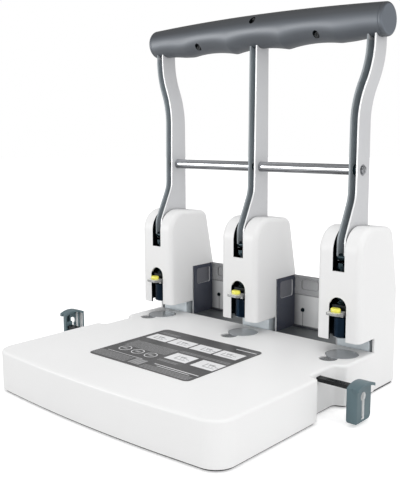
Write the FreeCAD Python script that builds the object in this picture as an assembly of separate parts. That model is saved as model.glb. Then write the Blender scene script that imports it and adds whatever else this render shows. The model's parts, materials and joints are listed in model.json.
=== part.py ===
import FreeCAD, Part
import math
import os

os.makedirs("parts", exist_ok=True)
V = FreeCAD.Vector

# Three-head lever punch for loose paper. Millimetres, +Z up, the operator stands on the -Y side.
# The origin is on the desk, in the middle plane between the outer heads, half way along the base.

# Main sizes. The hole spacing is the standard one for three-hole paper.
hole_spacing = 108.0
face_set_back = 187.0
rear_y = 68.0
base_depth = face_set_back + rear_y
face_y = face_set_back - base_depth / 2
cover_half_width = 21.0
head_x = {"left": -hole_spacing, "centre": 0.0, "right": hole_spacing}
sides = {"left": -1, "right": 1}

# Clearances
fit = 0.05
seat_gap = 0.1
small_gap = 0.3
running_gap = 0.5
overshoot = 2.0
shortest_edge = 0.005

# Table and base
table_side_reach = 1.2
table_half_width = hole_spacing + cover_half_width + table_side_reach
table_top_z = 37.0
table_corner_set_back = 6.0
table_bow_reach = 3.5
table_side_front = face_set_back - table_corner_set_back
table_bow_vertex = face_set_back + table_bow_reach
table_bow_radius = 1300.0
table_corner_radius = 17.0
table_rear = 26.0
table_wall = 2.4
table_edge_radius = 2.2
recess_depth = 9.4
recess_half_width = table_half_width - recess_depth
recess_front = 61.5
recess_rear = 25.5
recess_corner_radius = 4.0
recess_slant = 4.5
foot_height = 0.8
foot_radius = 8.0
foot_inset_x = 18.0
foot_inset_y = 20.0
base_plate_thickness = 1.6
base_plate_z = foot_height + base_plate_thickness
seam_inset = 1.5
base_corner_radius = 7.0
boss_radius = 4.0
boss_inset = 12.0
boss_x = hole_spacing - boss_inset
boss_set_back = 27.0
boss_front = face_set_back - boss_set_back
boss_rear = 36.0
screw_shank_radius = 1.8
screw_head_radius = 3.4
screw_head_height = 0.9
screw_length = 9.0

# Instruction plate on the table
plate_half_width = 58.5
plate_set_back = 52.0
plate_front = face_set_back - plate_set_back
plate_rear = 37.0
plate_thickness = 0.4
plate_corner_radius = 5.0

# Die plate, its supports and the chip tray
die_plate_thickness = 6.0
die_plate_z = 34.4
die_plate_inset = 4.7
die_plate_half_width = table_half_width - die_plate_inset
die_plate_front = -26.0
die_plate_rear_inset = 6.0
die_plate_rear = rear_y - die_plate_rear_inset
tongue_inset = 4.3
tongue_half_width = recess_half_width - tongue_inset
tongue_rear = -14.0
support_width = 6.5
tray_side_gap = 5.0
tray_half_width = die_plate_half_width - support_width - tray_side_gap
tray_wall = 1.6
tray_top_z = 23.5
tray_front = -6.0
tray_panel_top_z = 26.3
tray_grip_half_width = 30.0
tray_grip_height = 9.0
tray_grip_depth = 3.0

# Heads, measured from the front face of the covers
rear_wall = 2.2
rear_wall_top_z = 66.0
cover_wall = 2.0
cover_bottom_z = 49.2
cover_top_front_z = 148.0
cover_top_rear_z = 143.5
cover_front_radius = 21.0
cover_rear_slope = 12.0
cover_rear_top = rear_y - cover_rear_slope
cover_rear_top_radius = 9.0
cover_shoulder_z = 87.0
cover_shoulder_radius = 15.0
cover_side_radius = 5.0
cover_step = 32.2
cover_step_z = 86.2
skirt_front = 27.0
skirt_return = 10.0
lever_slot_half_width = 5.7
lever_slot_bottom_z = 109.0
lever_slot_rear = 42.0
arch_half_width = 8.3
arch_spring_z = 78.6

# Punch line
punch_y = 8.0
punch_radius = 3.57
punch_rest_z = 53.3
punch_bore_radius = 2.7
punch_bore_top_z = 104.0
punch_edge = 0.6
chip_slot_half_width = 2.0
chip_slot_low_z = 86.0
chip_slot_high_z = 102.0
sleeve_radius = 7.9
sleeve_bottom_z = 51.4
sleeve_top_z = 69.7
sleeve_chamfer = 0.8
cap_bottom_z = 111.1
cap_radius = 5.5
cap_disc_thickness = 2.2
cap_rib_half_width = 2.3
cap_rib_front = 3.2
cap_rib_rear = 19.5
cap_rib_low_z = 112.1
cap_top_z = 115.6
spigot_radius = 2.0
spigot_length = 2.5
spring_wire = 1.2
spring_outer_radius = 5.4
spring_turns = 8
arcs_per_turn = 4

# Cast frames
frame_side_gap = 3.0
frame_half_width = cover_half_width - cover_wall - frame_side_gap
frame_front = 27.5
frame_rear_gap = 8.0
frame_rear = rear_y - frame_rear_gap
frame_top_z = 98.0
holder_front = 7.0
holder_bottom_z = 52.4
holder_top_z = 72.2
guide_bottom_z = 75.3
guide_top_z = 79.8
guide_half_width = 7.0
guide_front = 2.6
cheek_inner = 4.9
cheek_outer = 8.4
cheek_rear = 45.0
cheek_bottom_z = 94.0
cheek_radius = 9.0
bolt_radius = 3.0
bolt_head_radius = 5.0
bolt_head_height = 3.4
bolt_depth = 9.0
bolt_first_inset = 10.5
bolt_second_inset = 8.0
bolt_first = frame_front + bolt_first_inset
bolt_second = frame_rear - bolt_second_inset

# Latches
latch_half_width = 7.0
latch_front = -9.0
latch_rear = 21.0
latch_bottom_z = 72.5
latch_top_z = 75.0
latch_fork_half_width = 4.1
latch_corner_radius = 3.0
latch_foot_inner = 2.4
latch_foot_outer = 5.4
latch_foot_front = 0.4
latch_foot_rear = 4.4
button_half_width = 4.4
button_half_depth = 3.2
button_y = -3.0
button_top_z = 78.2
button_edge_radius = 1.0

# Levers
pivot_y = 30.0
pivot_z = 124.0
pivot_radius = 3.0
pivot_head_radius = 4.6
pivot_head_length = 1.2
arm_half_width = 4.3
arm_sheet = 1.5
arm_top_z = 321.5
arm_front_top = 22.0
arm_front_mid = 19.7
arm_bend_z = 170.0
arm_bend_radius = 28.0
arm_toe_y = 3.5
arm_toe_z = 136.0
arm_toe_radius = 18.0
arm_toe_bottom_z = 122.5
arm_heel_y = 5.2
arm_heel_z = 117.4
arm_bottom_z = 116.0
arm_bottom_rear = 34.0
arm_rear_low_z = 121.0
arm_rear = 40.3
arm_rear_top = 39.4
arm_corner_radius = 1.0
arm_spread = 13.0
bar_radius = 3.0
bar_y = 6.8
bar_z = 120.5
bar_end_length = 0.8
cross_radius = 4.75
cross_y = 29.0
cross_z = 193.2
spread_low_share = 0.3102
spread_high_share = 0.8324
spread_low_z = cross_z + (arm_top_z - cross_z) * spread_low_share
spread_high_z = cross_z + (arm_top_z - cross_z) * spread_high_share
rivet_radius = 3.6
rivet_length = 1.8

# Grip, a barrel turned about a level axis, with a waved underside
grip_radius = 17.2
grip_end_radius = 13.7
grip_y = 30.0
grip_drop = 5.7
grip_z = arm_top_z - grip_drop
grip_overhang = 7.8
grip_half_length = hole_spacing + arm_spread + grip_overhang
grip_cap_length = 3.4
grip_cap_edge = 2.4
grip_core_radius = 5.0
grip_core_bore = 3.8
grip_split_gap = 0.06
wave_count = 2
wave_end = 8.8
wave_middle = 3.5
wave_pitch = (grip_half_length - wave_end) / wave_count
wave_radius = 156.0
wave_rise = 3.4
full_turn = 360
pocket_gap = 1.0
grip_screw_radius = 1.6
grip_screw_head_radius = 2.6
grip_screw_well_radius = 3.0
grip_screw_middle = 2.5
grip_screw_pitch = 67.5
grip_screw_drop = 8.0
grip_screw_lift = 10.4
grip_screw_seat = 8.6
grip_screw_head = 1.8
grip_screw_length = 15.0

# Smoked guards
guard_wall = 2.0
guard_front = 33.4
guard_top_z = 85.9
guard_rim = 1.4
guard_rim_height = 2.0
guard_foot_depth = 5.0
guard_foot_height = 1.6
pocket_depth = 1.1
pocket_low_z = 72.5
pocket_high_z = 82.5
pocket_inset = 8.0
pocket_inner = cover_half_width + pocket_inset
pocket_divider = 12.0
pocket_outer = (hole_spacing - pocket_divider) / 2
side_pocket_front = 39.0
side_pocket_rear_gap = 8.0
side_pocket_rear = rear_y - side_pocket_rear_gap
side_pocket_low_z = 66.0
pocket_corner = 2.5
groove_width = 0.9
groove_depth = 0.7
shelf_z = 67.0
guard_screw_inset = 10.0
guard_screw_x = cover_half_width + guard_screw_inset
guard_screw_z = 52.0
guard_screw_radius = 1.3
guard_screw_head_radius = 2.1
guard_screw_head = 1.0
guard_screw_length = 2.8

# Cutting discs, off the punch line so that a turn brings a fresh place under the punch
disc_radius = 14.0
disc_shift = 2.5
disc_y = 4.5
disc_thickness = 2.6
disc_bevel = 0.3
notch_radius = 7.8
notch_y = -13.2
notch_pad_height = 1.5

# Paper guides, arched on top, each on a flat grooved rail
guide_pull_left = 72.0
guide_pull_right = 26.2
guide_outer_x = {"left": table_half_width + guide_pull_left, "right": table_half_width + guide_pull_right}
guide_depth = 7.2
guide_sheet = 1.8
guide_y_front = 53.0
guide_y_rear = 27.8
guide_bottom = 2.4
guide_top = 31.4
guide_crown = 3.0
guide_lip_front = 3.0
guide_lip_rear = 4.6
guide_lip_thickness = 2.4
guide_lip_corner = 2.0
guide_front_radius = 5.0
guide_corner_radius = 4.0
key_y = 39.8
key_head_radius = 3.6
key_head_z = 22.6
key_stem_half_width = 1.9
key_stem_low_z = 4.4
rib_width = 1.4
rib_spots = [34.2, 45.2]
rail_y = 47.5
rail_half_width = 3.2
rail_height = 3.2
rail_top_z = {"left": 19.5, "right": 32.7}
boss_cover = 4.0
rail_shortfall = 35.2
rail_length = table_half_width - rail_shortfall
rail_groove = 0.8
rail_groove_spread = 1.3
rail_notch_width = 2.8
rail_notch_depth = 2.8
channel_sheet = 0.8
channel_inner_x = 24.0
channel_end_gap = 0.6
channel_outer_x = recess_half_width - table_wall - channel_end_gap


def head_y(offset):
    return face_y + offset


def box(x0, x1, y0, y1, z0, z1):
    low = V(min(x0, x1), min(y0, y1), min(z0, z1))
    return Part.makeBox(abs(x1 - x0), abs(y1 - y0), abs(z1 - z0), low)


def cylinder_x(x0, x1, y, z, radius):
    return Part.makeCylinder(radius, x1 - x0, V(x0, y, z), V(1, 0, 0))


def cylinder_y(x, y0, y1, z, radius):
    return Part.makeCylinder(radius, y1 - y0, V(x, y0, z), V(0, 1, 0))


def cylinder_z(x, y, z0, z1, radius):
    return Part.makeCylinder(radius, z1 - z0, V(x, y, z0), V(0, 0, 1))


def mirrored(shape):
    return shape.mirror(V(0, 0, 0), V(1, 0, 0))


def moved_x(shape, x):
    copy = shape.copy()
    copy.translate(V(x, 0, 0))
    return copy


def corner(before, point, after, radius):
    # Tangent points and middle of the arc that rounds one corner of an outline
    to_before = (before - point).normalize()
    to_after = (after - point).normalize()
    half = to_before.getAngle(to_after) / 2
    along = radius / math.tan(half)
    middle = (to_before + to_after).normalize()
    centre = point + middle * (radius / math.sin(half))
    return point + to_before * along, centre - middle * radius, point + to_after * along


def outline(points, lift):
    # Closed wire through (a, b, radius) corners, lifted into space by the given function
    spots = [V(a, b, 0) for a, b, radius in points]
    count = len(spots)
    ends = []
    for index, (a, b, radius) in enumerate(points):
        if radius:
            ends.append(corner(spots[index - 1], spots[index], spots[(index + 1) % count], radius))
        else:
            ends.append((spots[index], None, spots[index]))
    edges = []
    for index, (first, middle, last) in enumerate(ends):
        if middle:
            edges.append(Part.Arc(lift(first), lift(middle), lift(last)).toShape())
        following = ends[(index + 1) % count][0]
        if (following - last).Length > shortest_edge:
            edges.append(Part.makeLine(lift(last), lift(following)))
    return Part.Wire(edges)


def plan(points, z0, z1):
    wire = outline(points, lambda p: V(p.x, p.y, z0))
    return Part.Face(wire).extrude(V(0, 0, z1 - z0))


def side_prism(points, x0, x1):
    wire = outline(points, lambda p: V(x0, p.x, p.y))
    return Part.Face(wire).extrude(V(x1 - x0, 0, 0))


def front_prism(points, y0, y1):
    wire = outline(points, lambda p: V(p.x, y0, p.y))
    return Part.Face(wire).extrude(V(0, y1 - y0, 0))


def edges_where(shape, test):
    found = []
    for edge in shape.Edges:
        middle = edge.valueAt((edge.FirstParameter + edge.LastParameter) / 2)
        if test(edge, middle):
            found.append(edge)
    return found


def joined(shapes):
    first = shapes[0]
    return first.fuse(shapes[1:]).removeSplitter()


def save(name, shape):
    solids = shape.Solids
    result = solids[0] if len(solids) == 1 else Part.makeCompound(solids)
    result.exportStep("parts/" + name + ".step")


# Base

def table_points(inset, rear):
    x = table_half_width - inset
    notch = recess_half_width - inset
    front = head_y(-table_side_front) + inset
    bow = head_y(-table_bow_vertex) + inset
    corner_radius = table_corner_radius - inset
    right = [
        (x, front, corner_radius),
        (x, head_y(-recess_front) - inset, recess_corner_radius),
        (notch, head_y(-recess_front) - inset, recess_corner_radius),
        (notch, head_y(-recess_rear) + inset, recess_corner_radius),
        (x, head_y(-recess_rear) + recess_slant + inset, recess_corner_radius),
        (x, rear, 0),
    ]
    left = [(-a, b, r) for a, b, r in reversed(right)]
    return left + [(0.0, bow, table_bow_radius)] + right


def boss_spots():
    return [(side * boss_x, head_y(-y)) for side in sides.values() for y in (boss_front, boss_rear)]


def disc_recess(x):
    # Round recess with a finger notch at the front, by which the disc is lifted out
    top = table_top_z + overshoot
    disc = cylinder_z(x + disc_shift, head_y(disc_y), die_plate_z, top, disc_radius + small_gap)
    notch = cylinder_z(x, head_y(notch_y), die_plate_z, top, notch_radius)
    return joined([disc, notch])


def notch_pad(x):
    # Raised floor of the finger notch
    top = die_plate_z + notch_pad_height
    pad = cylinder_z(x, head_y(notch_y), die_plate_z - fit, top, notch_radius - small_gap)
    room = cylinder_z(x + disc_shift, head_y(disc_y), die_plate_z - fit, top, disc_radius + small_gap)
    return pad.cut(room)


def make_base_plate():
    points = table_points(seam_inset, head_y(rear_y) - seam_inset)
    points[0] = (points[0][0], points[0][1], base_corner_radius)
    points[-1] = (points[-1][0], points[-1][1], base_corner_radius)
    plate = plan(points, foot_height, base_plate_z)
    for x, y in boss_spots():
        plate = plate.cut(cylinder_z(x, y, foot_height, base_plate_z, screw_shank_radius + fit))
        head_top = foot_height + screw_head_height + fit
        plate = plate.cut(cylinder_z(x, y, foot_height, head_top, screw_head_radius + fit))
    return plate


def make_feet():
    feet = [cylinder_z(0, 0, 0, foot_height, foot_radius)]
    for side in sides.values():
        x = side * (table_half_width - foot_inset_x)
        for y in (head_y(-table_side_front) + foot_inset_y, head_y(rear_y) - foot_inset_y):
            feet.append(cylinder_z(x, y, 0, foot_height, foot_radius))
    return Part.makeCompound(feet)


def make_base_screws():
    screws = []
    for x, y in boss_spots():
        head = cylinder_z(x, y, foot_height, foot_height + screw_head_height, screw_head_radius)
        shank = cylinder_z(x, y, foot_height, foot_height + screw_length, screw_shank_radius)
        screws.append(joined([head, shank]))
    return Part.makeCompound(screws)


def rail_window(name):
    side = sides[name]
    low_z = rail_top_z[name] - rail_height - running_gap
    high_z = rail_top_z[name] + small_gap
    y = head_y(-rail_y)
    reach = rail_half_width + running_gap
    inner = side * (recess_half_width - table_wall - overshoot)
    outer = side * (recess_half_width + overshoot)
    slot = box(inner, outer, y - reach, y + reach, low_z, high_z)
    notch = box(inner, outer, y - reach, y - reach + rail_notch_width, low_z - rail_notch_depth, low_z)
    return joined([slot, notch])


def make_table_cover():
    rear = head_y(table_rear)
    body = plan(table_points(0.0, rear), base_plate_z, table_top_z)
    top_edges = edges_where(body, lambda e, m: abs(m.z - table_top_z) < fit and m.y < rear - fit)
    body = body.makeFillet(table_edge_radius, top_edges)
    inside = plan(table_points(table_wall, rear + overshoot), base_plate_z, table_top_z - table_wall)
    body = body.cut(inside)
    for x, y in boss_spots():
        boss = cylinder_z(x, y, base_plate_z, table_top_z - table_wall, boss_radius)
        hole = cylinder_z(x, y, base_plate_z, foot_height + screw_length + fit, screw_shank_radius + fit)
        body = body.fuse(boss).cut(hole)
    for x in head_x.values():
        body = body.cut(disc_recess(x))
    for name in sides:
        body = body.cut(rail_window(name))
    return body.removeSplitter()


def make_instruction_plate():
    x = plate_half_width
    r = plate_corner_radius
    corners = [(-x, -plate_front), (x, -plate_front), (x, -plate_rear), (-x, -plate_rear)]
    points = [(a, head_y(b), r) for a, b in corners]
    return plan(points, table_top_z, table_top_z + plate_thickness)


# Die plate, tray and rear cover

def bolt_spots():
    return [(x, head_y(y)) for x in head_x.values() for y in (bolt_first, bolt_second)]


def make_die_plate():
    low_z = die_plate_z - die_plate_thickness
    x = die_plate_half_width
    tongue_x = tongue_half_width
    plate = joined([
        box(-x, x, head_y(tongue_rear), head_y(die_plate_rear), low_z, die_plate_z),
        box(-tongue_x, tongue_x, head_y(die_plate_front), head_y(tongue_rear), low_z, die_plate_z),
    ] + [notch_pad(x) for x in head_x.values()])
    for x, y in bolt_spots():
        plate = plate.cut(cylinder_z(x, y, low_z, die_plate_z, bolt_radius + fit))
    return plate


def make_die_supports():
    blocks = []
    top = die_plate_z - die_plate_thickness
    front = head_y(tongue_rear)
    for side in sides.values():
        outer = side * die_plate_half_width
        inner = outer - side * support_width
        blocks.append(box(inner, outer, front, head_y(die_plate_rear), base_plate_z, top))
    return Part.makeCompound(blocks)


def make_frame_bolts():
    bolts = []
    low_z = die_plate_z - die_plate_thickness
    for x, y in bolt_spots():
        head = cylinder_z(x, y, low_z - bolt_head_height, low_z, bolt_head_radius)
        shank = cylinder_z(x, y, low_z - bolt_head_height, die_plate_z + bolt_depth, bolt_radius)
        bolts.append(joined([head, shank]))
    return Part.makeCompound(bolts)


def make_chip_tray():
    x = tray_half_width
    low_z = base_plate_z + small_gap
    front = head_y(tray_front)
    panel = head_y(rear_y) - rear_wall
    tub = box(-x, x, front, panel, low_z, tray_top_z)
    room = box(-x + tray_wall, x - tray_wall, front + tray_wall, panel - tray_wall,
               low_z + tray_wall, tray_top_z)
    plate = box(-x, x, panel, head_y(rear_y), low_z, tray_panel_top_z)
    grip_z = tray_panel_top_z - tray_grip_height
    reach = tray_grip_half_width
    notch = box(-reach, reach, panel - tray_grip_depth, head_y(rear_y), grip_z, tray_panel_top_z)
    return joined([tub.cut(room), plate]).cut(notch)


def guard_screw_spots():
    far = hole_spacing - guard_screw_x
    return [side * x for side in sides.values() for x in (guard_screw_x, far)]


def make_rear_cover():
    x = hole_spacing + cover_half_width - skirt_return - seat_gap
    inner_y = head_y(rear_y) - rear_wall
    wall = box(-x, x, inner_y, head_y(rear_y), base_plate_z, rear_wall_top_z)
    opening_x = tray_half_width + small_gap
    opening = box(-opening_x, opening_x, inner_y, head_y(rear_y), base_plate_z,
                  tray_panel_top_z + small_gap)
    wall = wall.cut(opening)
    for x in guard_screw_spots():
        wall = wall.cut(cylinder_y(x, inner_y, head_y(rear_y), guard_screw_z, guard_screw_radius + fit))
    return wall


# Heads

def cover_points(inset, skirted):
    front = head_y(inset)
    rear = head_y(rear_y - inset)
    low = base_plate_z if skirted else rear_wall_top_z + seat_gap
    under = overshoot if inset else 0.0
    return [
        (front, cover_bottom_z - under, 0),
        (head_y(skirt_front + inset), cover_bottom_z - under, 0),
        (head_y(skirt_front + inset), low - under, 0),
        (rear, low - under, 0),
        (rear, cover_shoulder_z, cover_shoulder_radius),
        (head_y(cover_rear_top - inset), cover_top_rear_z - inset, cover_rear_top_radius - inset),
        (front, cover_top_front_z - inset, cover_front_radius - inset),
    ]


def hood(inset, skirted):
    width = cover_half_width - inset
    points = cover_points(inset, skirted)
    if not skirted:
        points[1] = (head_y(rear_y - inset), cover_bottom_z - (overshoot if inset else 0.0), 0)
        del points[2:4]
    body = side_prism(points, -width, width)
    low = points[0][1] if not skirted else points[2][1]
    knee = head_y(skirt_front + inset)

    def on_side(edge, m):
        if abs(abs(m.x) - width) > fit or m.z < low + fit:
            return False
        if abs(m.z - points[0][1]) < fit or (skirted and abs(m.y - knee) < fit):
            return False
        return True
    return body.makeFillet(cover_side_radius - inset, edges_where(body, on_side))


def make_cover(skirted):
    shell = hood(0.0, skirted).cut(hood(cover_wall, skirted))
    x = cover_half_width + overshoot
    slot = lever_slot_half_width
    shell = shell.cut(box(-slot, slot, head_y(-overshoot), head_y(lever_slot_rear),
                          lever_slot_bottom_z, cover_top_front_z + overshoot))
    arch = arch_half_width
    behind = head_y(cover_wall + overshoot)
    shell = shell.cut(box(-arch, arch, head_y(-overshoot), behind, 0, arch_spring_z))
    shell = shell.cut(cylinder_y(0, head_y(-overshoot), behind, arch_spring_z, arch))
    lower_rear = head_y(rear_y) - rear_wall - seat_gap
    if skirted:
        inner = cover_half_width - cover_wall - seat_gap
        shell = shell.cut(box(-x, inner, head_y(cover_step), lower_rear, 0, cover_step_z))
        low_front = box(-x, cover_half_width - cover_wall, 0, head_y(cover_step), 0, cover_bottom_z)
        shell = shell.cut(low_front)
        shell = shell.cut(box(-x, cover_half_width - skirt_return, head_y(cover_step),
                              head_y(rear_y + overshoot), 0, rear_wall_top_z + seat_gap))
        skirt_low = box(-x, x, head_y(skirt_front - overshoot), head_y(skirt_front), 0, cover_bottom_z)
        shell = shell.cut(skirt_low)
    else:
        shell = shell.cut(box(-x, x, head_y(cover_step), lower_rear, 0, cover_step_z))
        shell = shell.cut(box(-x, x, head_y(cover_step), head_y(rear_y + overshoot), 0,
                              rear_wall_top_z + seat_gap))
    return shell.removeSplitter()


def make_frame():
    x = frame_half_width
    column = box(-x, x, head_y(frame_front), head_y(frame_rear), die_plate_z, frame_top_z)
    holder = box(-x, x, head_y(holder_front), head_y(frame_front), holder_bottom_z, holder_top_z)
    ring_x = guide_half_width
    pin_guide = box(-ring_x, ring_x, head_y(guide_front), head_y(frame_front), guide_bottom_z, guide_top_z)
    parts = [column, holder, pin_guide]
    for side in sides.values():
        inner = side * cheek_inner
        outer = side * cheek_outer
        front = head_y(pivot_y - cheek_radius)
        parts.append(box(inner, outer, front, head_y(cheek_rear), cheek_bottom_z, pivot_z))
        low_x = min(inner, outer)
        high_x = max(inner, outer)
        parts.append(cylinder_x(low_x, high_x, head_y(pivot_y), pivot_z, cheek_radius))
    body = joined(parts)
    bore = cylinder_z(0, head_y(punch_y), holder_bottom_z, holder_top_z, sleeve_radius + fit)
    guide_bore = cylinder_z(0, head_y(punch_y), guide_bottom_z, guide_top_z, punch_radius + fit)
    pivot_hole = cylinder_x(-x, x, head_y(pivot_y), pivot_z, pivot_radius + fit)
    body = body.cut([bore, guide_bore, pivot_hole])
    for y in (bolt_first, bolt_second):
        body = body.cut(cylinder_z(0, head_y(y), die_plate_z, die_plate_z + bolt_depth + fit,
                                   bolt_radius + fit))
    return body


def make_pivot_pins():
    pins = []
    for x in head_x.values():
        reach = cheek_outer + fit
        pin = cylinder_x(x - reach, x + reach, head_y(pivot_y), pivot_z, pivot_radius)
        heads = []
        for start in (x - reach - pivot_head_length, x + reach):
            heads.append(cylinder_x(start, start + pivot_head_length, head_y(pivot_y), pivot_z,
                                    pivot_head_radius))
        pins.append(joined([pin] + heads))
    return Part.makeCompound(pins)


def make_sleeve():
    body = cylinder_z(0, head_y(punch_y), sleeve_bottom_z, sleeve_top_z, sleeve_radius)
    rims = edges_where(body, lambda e, m: len(e.Vertexes) == 1)
    body = body.makeChamfer(sleeve_chamfer, rims)
    return body.cut(cylinder_z(0, head_y(punch_y), sleeve_bottom_z, sleeve_top_z, punch_radius + fit))


def make_punch_pin():
    # Hollow punch, sharp at the lower rim, with a slot at the rear where the chips leave
    y = head_y(punch_y)
    shank = cylinder_z(0, y, punch_rest_z, cap_bottom_z, punch_radius)
    rim = edges_where(shank, lambda e, m: abs(m.z - punch_rest_z) < fit)
    shank = shank.makeChamfer(punch_edge, rim)
    spigot = cylinder_z(0, y, cap_bottom_z, cap_bottom_z + spigot_length, spigot_radius)
    bore = cylinder_z(0, y, punch_rest_z, punch_bore_top_z, punch_bore_radius)
    half = chip_slot_half_width
    slot = box(-half, half, y, y + punch_radius + overshoot, chip_slot_low_z, chip_slot_high_z)
    return joined([shank, spigot]).cut([bore, slot])


def make_cap():
    y = head_y(punch_y)
    disc = cylinder_z(0, y, cap_bottom_z, cap_bottom_z + cap_disc_thickness, cap_radius)
    rib = box(-cap_rib_half_width, cap_rib_half_width, head_y(cap_rib_front), head_y(cap_rib_rear),
              cap_rib_low_z, cap_top_z)
    hole = cylinder_z(0, y, cap_bottom_z, cap_bottom_z + spigot_length + fit, spigot_radius + fit)
    return joined([disc, rib]).cut(hole)


def make_spring():
    radius = spring_outer_radius - spring_wire / 2
    low = guide_top_z + spring_wire / 2 + fit
    height = cap_bottom_z - guide_top_z - spring_wire - fit * 2
    pitch = height / spring_turns
    y = head_y(punch_y)
    edges = []

    def spot(step):
        turns = step / arcs_per_turn
        angle = math.tau * turns
        return V(radius * math.cos(angle), y + radius * math.sin(angle), low + pitch * turns)
    for index in range(spring_turns * arcs_per_turn):
        edges.append(Part.Arc(spot(index), spot(index + 1 / 2), spot(index + 1)).toShape())
    path = Part.Wire(edges)
    start = path.Edges[0]
    tangent = start.tangentAt(start.FirstParameter)
    section = Part.Wire([Part.makeCircle(spring_wire / 2, spot(0), tangent)])
    return path.makePipeShell([section], True, False)


def make_disc(x):
    top = die_plate_z + disc_thickness
    disc = cylinder_z(x + disc_shift, head_y(disc_y), die_plate_z, top, disc_radius)
    return disc.makeChamfer(disc_bevel, edges_where(disc, lambda e, m: abs(m.z - top) < fit))


def make_latch_plate():
    half = latch_half_width
    r = latch_corner_radius
    points = [(-half, head_y(latch_front), r), (half, head_y(latch_front), r),
              (half, head_y(latch_rear), 0), (-half, head_y(latch_rear), 0)]
    plate = plan(points, latch_bottom_z, latch_top_z)
    fork = latch_fork_half_width
    round_end = cylinder_z(0, head_y(punch_y), latch_bottom_z, latch_top_z, fork)
    slot = box(-fork, fork, head_y(punch_y), head_y(latch_rear), latch_bottom_z, latch_top_z)
    plate = plate.cut([round_end, slot])
    feet = []
    for side in sides.values():
        feet.append(box(side * latch_foot_inner, side * latch_foot_outer, head_y(latch_foot_front),
                        head_y(latch_foot_rear), sleeve_top_z + small_gap, latch_bottom_z))
    return joined([plate] + feet)


def make_button():
    half = button_half_width
    depth = button_half_depth
    r = depth - fit
    y = head_y(button_y)
    points = [(-half, y - depth, r), (half, y - depth, r), (half, y + depth, r), (-half, y + depth, r)]
    body = plan(points, latch_top_z, button_top_z)
    rims = edges_where(body, lambda e, m: abs(m.z - button_top_z) < fit)
    return body.makeFillet(button_edge_radius, rims)


# Handle

def arm_side_points(web):
    rear = arm_rear - web
    rear_top = arm_rear_top - web
    r = 0 if web else arm_corner_radius
    beyond = overshoot if web else 0.0
    return [
        (head_y(arm_front_top - beyond), arm_top_z + beyond, 0),
        (head_y(arm_front_mid - beyond), arm_bend_z, arm_bend_radius),
        (head_y(arm_toe_y - beyond), arm_toe_z, arm_toe_radius),
        (head_y(arm_toe_y - beyond), arm_toe_bottom_z - beyond, 0),
        (head_y(arm_heel_y), arm_heel_z - beyond, r),
        (head_y(arm_bottom_rear), arm_bottom_z - beyond, r),
        (head_y(rear), arm_rear_low_z - beyond, r),
        (head_y(rear), cross_z, 0),
        (head_y(rear_top), arm_top_z + beyond, 0),
    ]


def arm_slab(x, spread, half, side):
    # Front view of the arm, straight below and shifted outwards by two arcs above
    low = arm_bottom_z - overshoot
    high = arm_top_z + overshoot
    y0 = face_y - overshoot
    if not spread:
        return box(x - half, x + half, y0, head_y(rear_y), low, high)
    height = spread_high_z - spread_low_z
    bend = (height * height + spread * spread) / (4 * spread)
    turn = math.asin(height / 2 / bend)

    def edge_spots(offset):
        start = V(x + side * offset, y0, spread_low_z)
        first = bend - offset
        second = bend + offset
        out = side * (offset + first * (1 - math.cos(turn / 2)))
        middle_a = V(x + out, y0, spread_low_z + first * math.sin(turn / 2))
        knee = V(x + side * (offset + first * (1 - math.cos(turn))), y0,
                 spread_low_z + first * math.sin(turn))
        far = offset + spread - second * (1 - math.cos(turn / 2))
        middle_b = V(x + side * far, y0, spread_high_z - second * math.sin(turn / 2))
        end = V(x + side * (offset + spread), y0, spread_high_z)
        return start, middle_a, knee, middle_b, end
    edges = []
    for offset in (half, -half):
        start, middle_a, knee, middle_b, end = edge_spots(offset)
        bottom = V(start.x, y0, low)
        top = V(end.x, y0, high)
        edges.append([bottom, start, middle_a, knee, middle_b, end, top])
    lines = []
    for bottom, start, middle_a, knee, middle_b, end, top in edges:
        lines.append(Part.makeLine(bottom, start))
        lines.append(Part.Arc(start, middle_a, knee).toShape())
        lines.append(Part.Arc(knee, middle_b, end).toShape())
        lines.append(Part.makeLine(end, top))
    lines.append(Part.makeLine(edges[0][0], edges[1][0]))
    lines.append(Part.makeLine(edges[0][-1], edges[1][-1]))
    wire = Part.Wire(Part.__sortEdges__(lines))
    return Part.Face(wire).extrude(V(0, rear_y + overshoot, 0))


def make_arm(name):
    x = head_x[name]
    side = sides.get(name, 1)
    spread = arm_spread if name in sides else 0.0
    wide = arm_spread + hole_spacing
    solid_side = side_prism(arm_side_points(0.0), x - wide, x + wide)
    hollow_side = side_prism(arm_side_points(arm_sheet), x - wide, x + wide)
    outer = arm_slab(x, spread, arm_half_width, side).common(solid_side)
    inner = arm_slab(x, spread, arm_half_width - arm_sheet, side).common(hollow_side)
    arm = outer.cut(inner)
    reach = arm_half_width + arm_spread + overshoot
    holes = [
        cylinder_x(x - reach, x + reach, head_y(pivot_y), pivot_z, pivot_radius + fit),
        cylinder_x(x - reach, x + reach, head_y(bar_y), bar_z, bar_radius + fit),
        cylinder_x(x - reach, x + reach, head_y(cross_y), cross_z, cross_radius + fit),
        cylinder_x(x - reach, x + reach, head_y(grip_y), grip_z, grip_core_radius + fit),
    ]
    return arm.cut(holes)


def make_drive_bar():
    reach = arm_half_width + bar_end_length - small_gap
    return cylinder_x(-reach, reach, head_y(bar_y), bar_z, bar_radius)


def make_cross_bar():
    reach = hole_spacing + arm_half_width + fit
    return cylinder_x(-reach, reach, head_y(cross_y), cross_z, cross_radius)


def make_cross_rivets():
    start = hole_spacing + arm_half_width + fit
    rivet = cylinder_x(start, start + rivet_length, head_y(cross_y), cross_z, rivet_radius)
    rim = edges_where(rivet, lambda e, m: abs(m.x - start - rivet_length) < fit)
    rivet = rivet.makeFillet(rivet_length / 2, rim)
    return Part.makeCompound([rivet, mirrored(rivet)])


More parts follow.
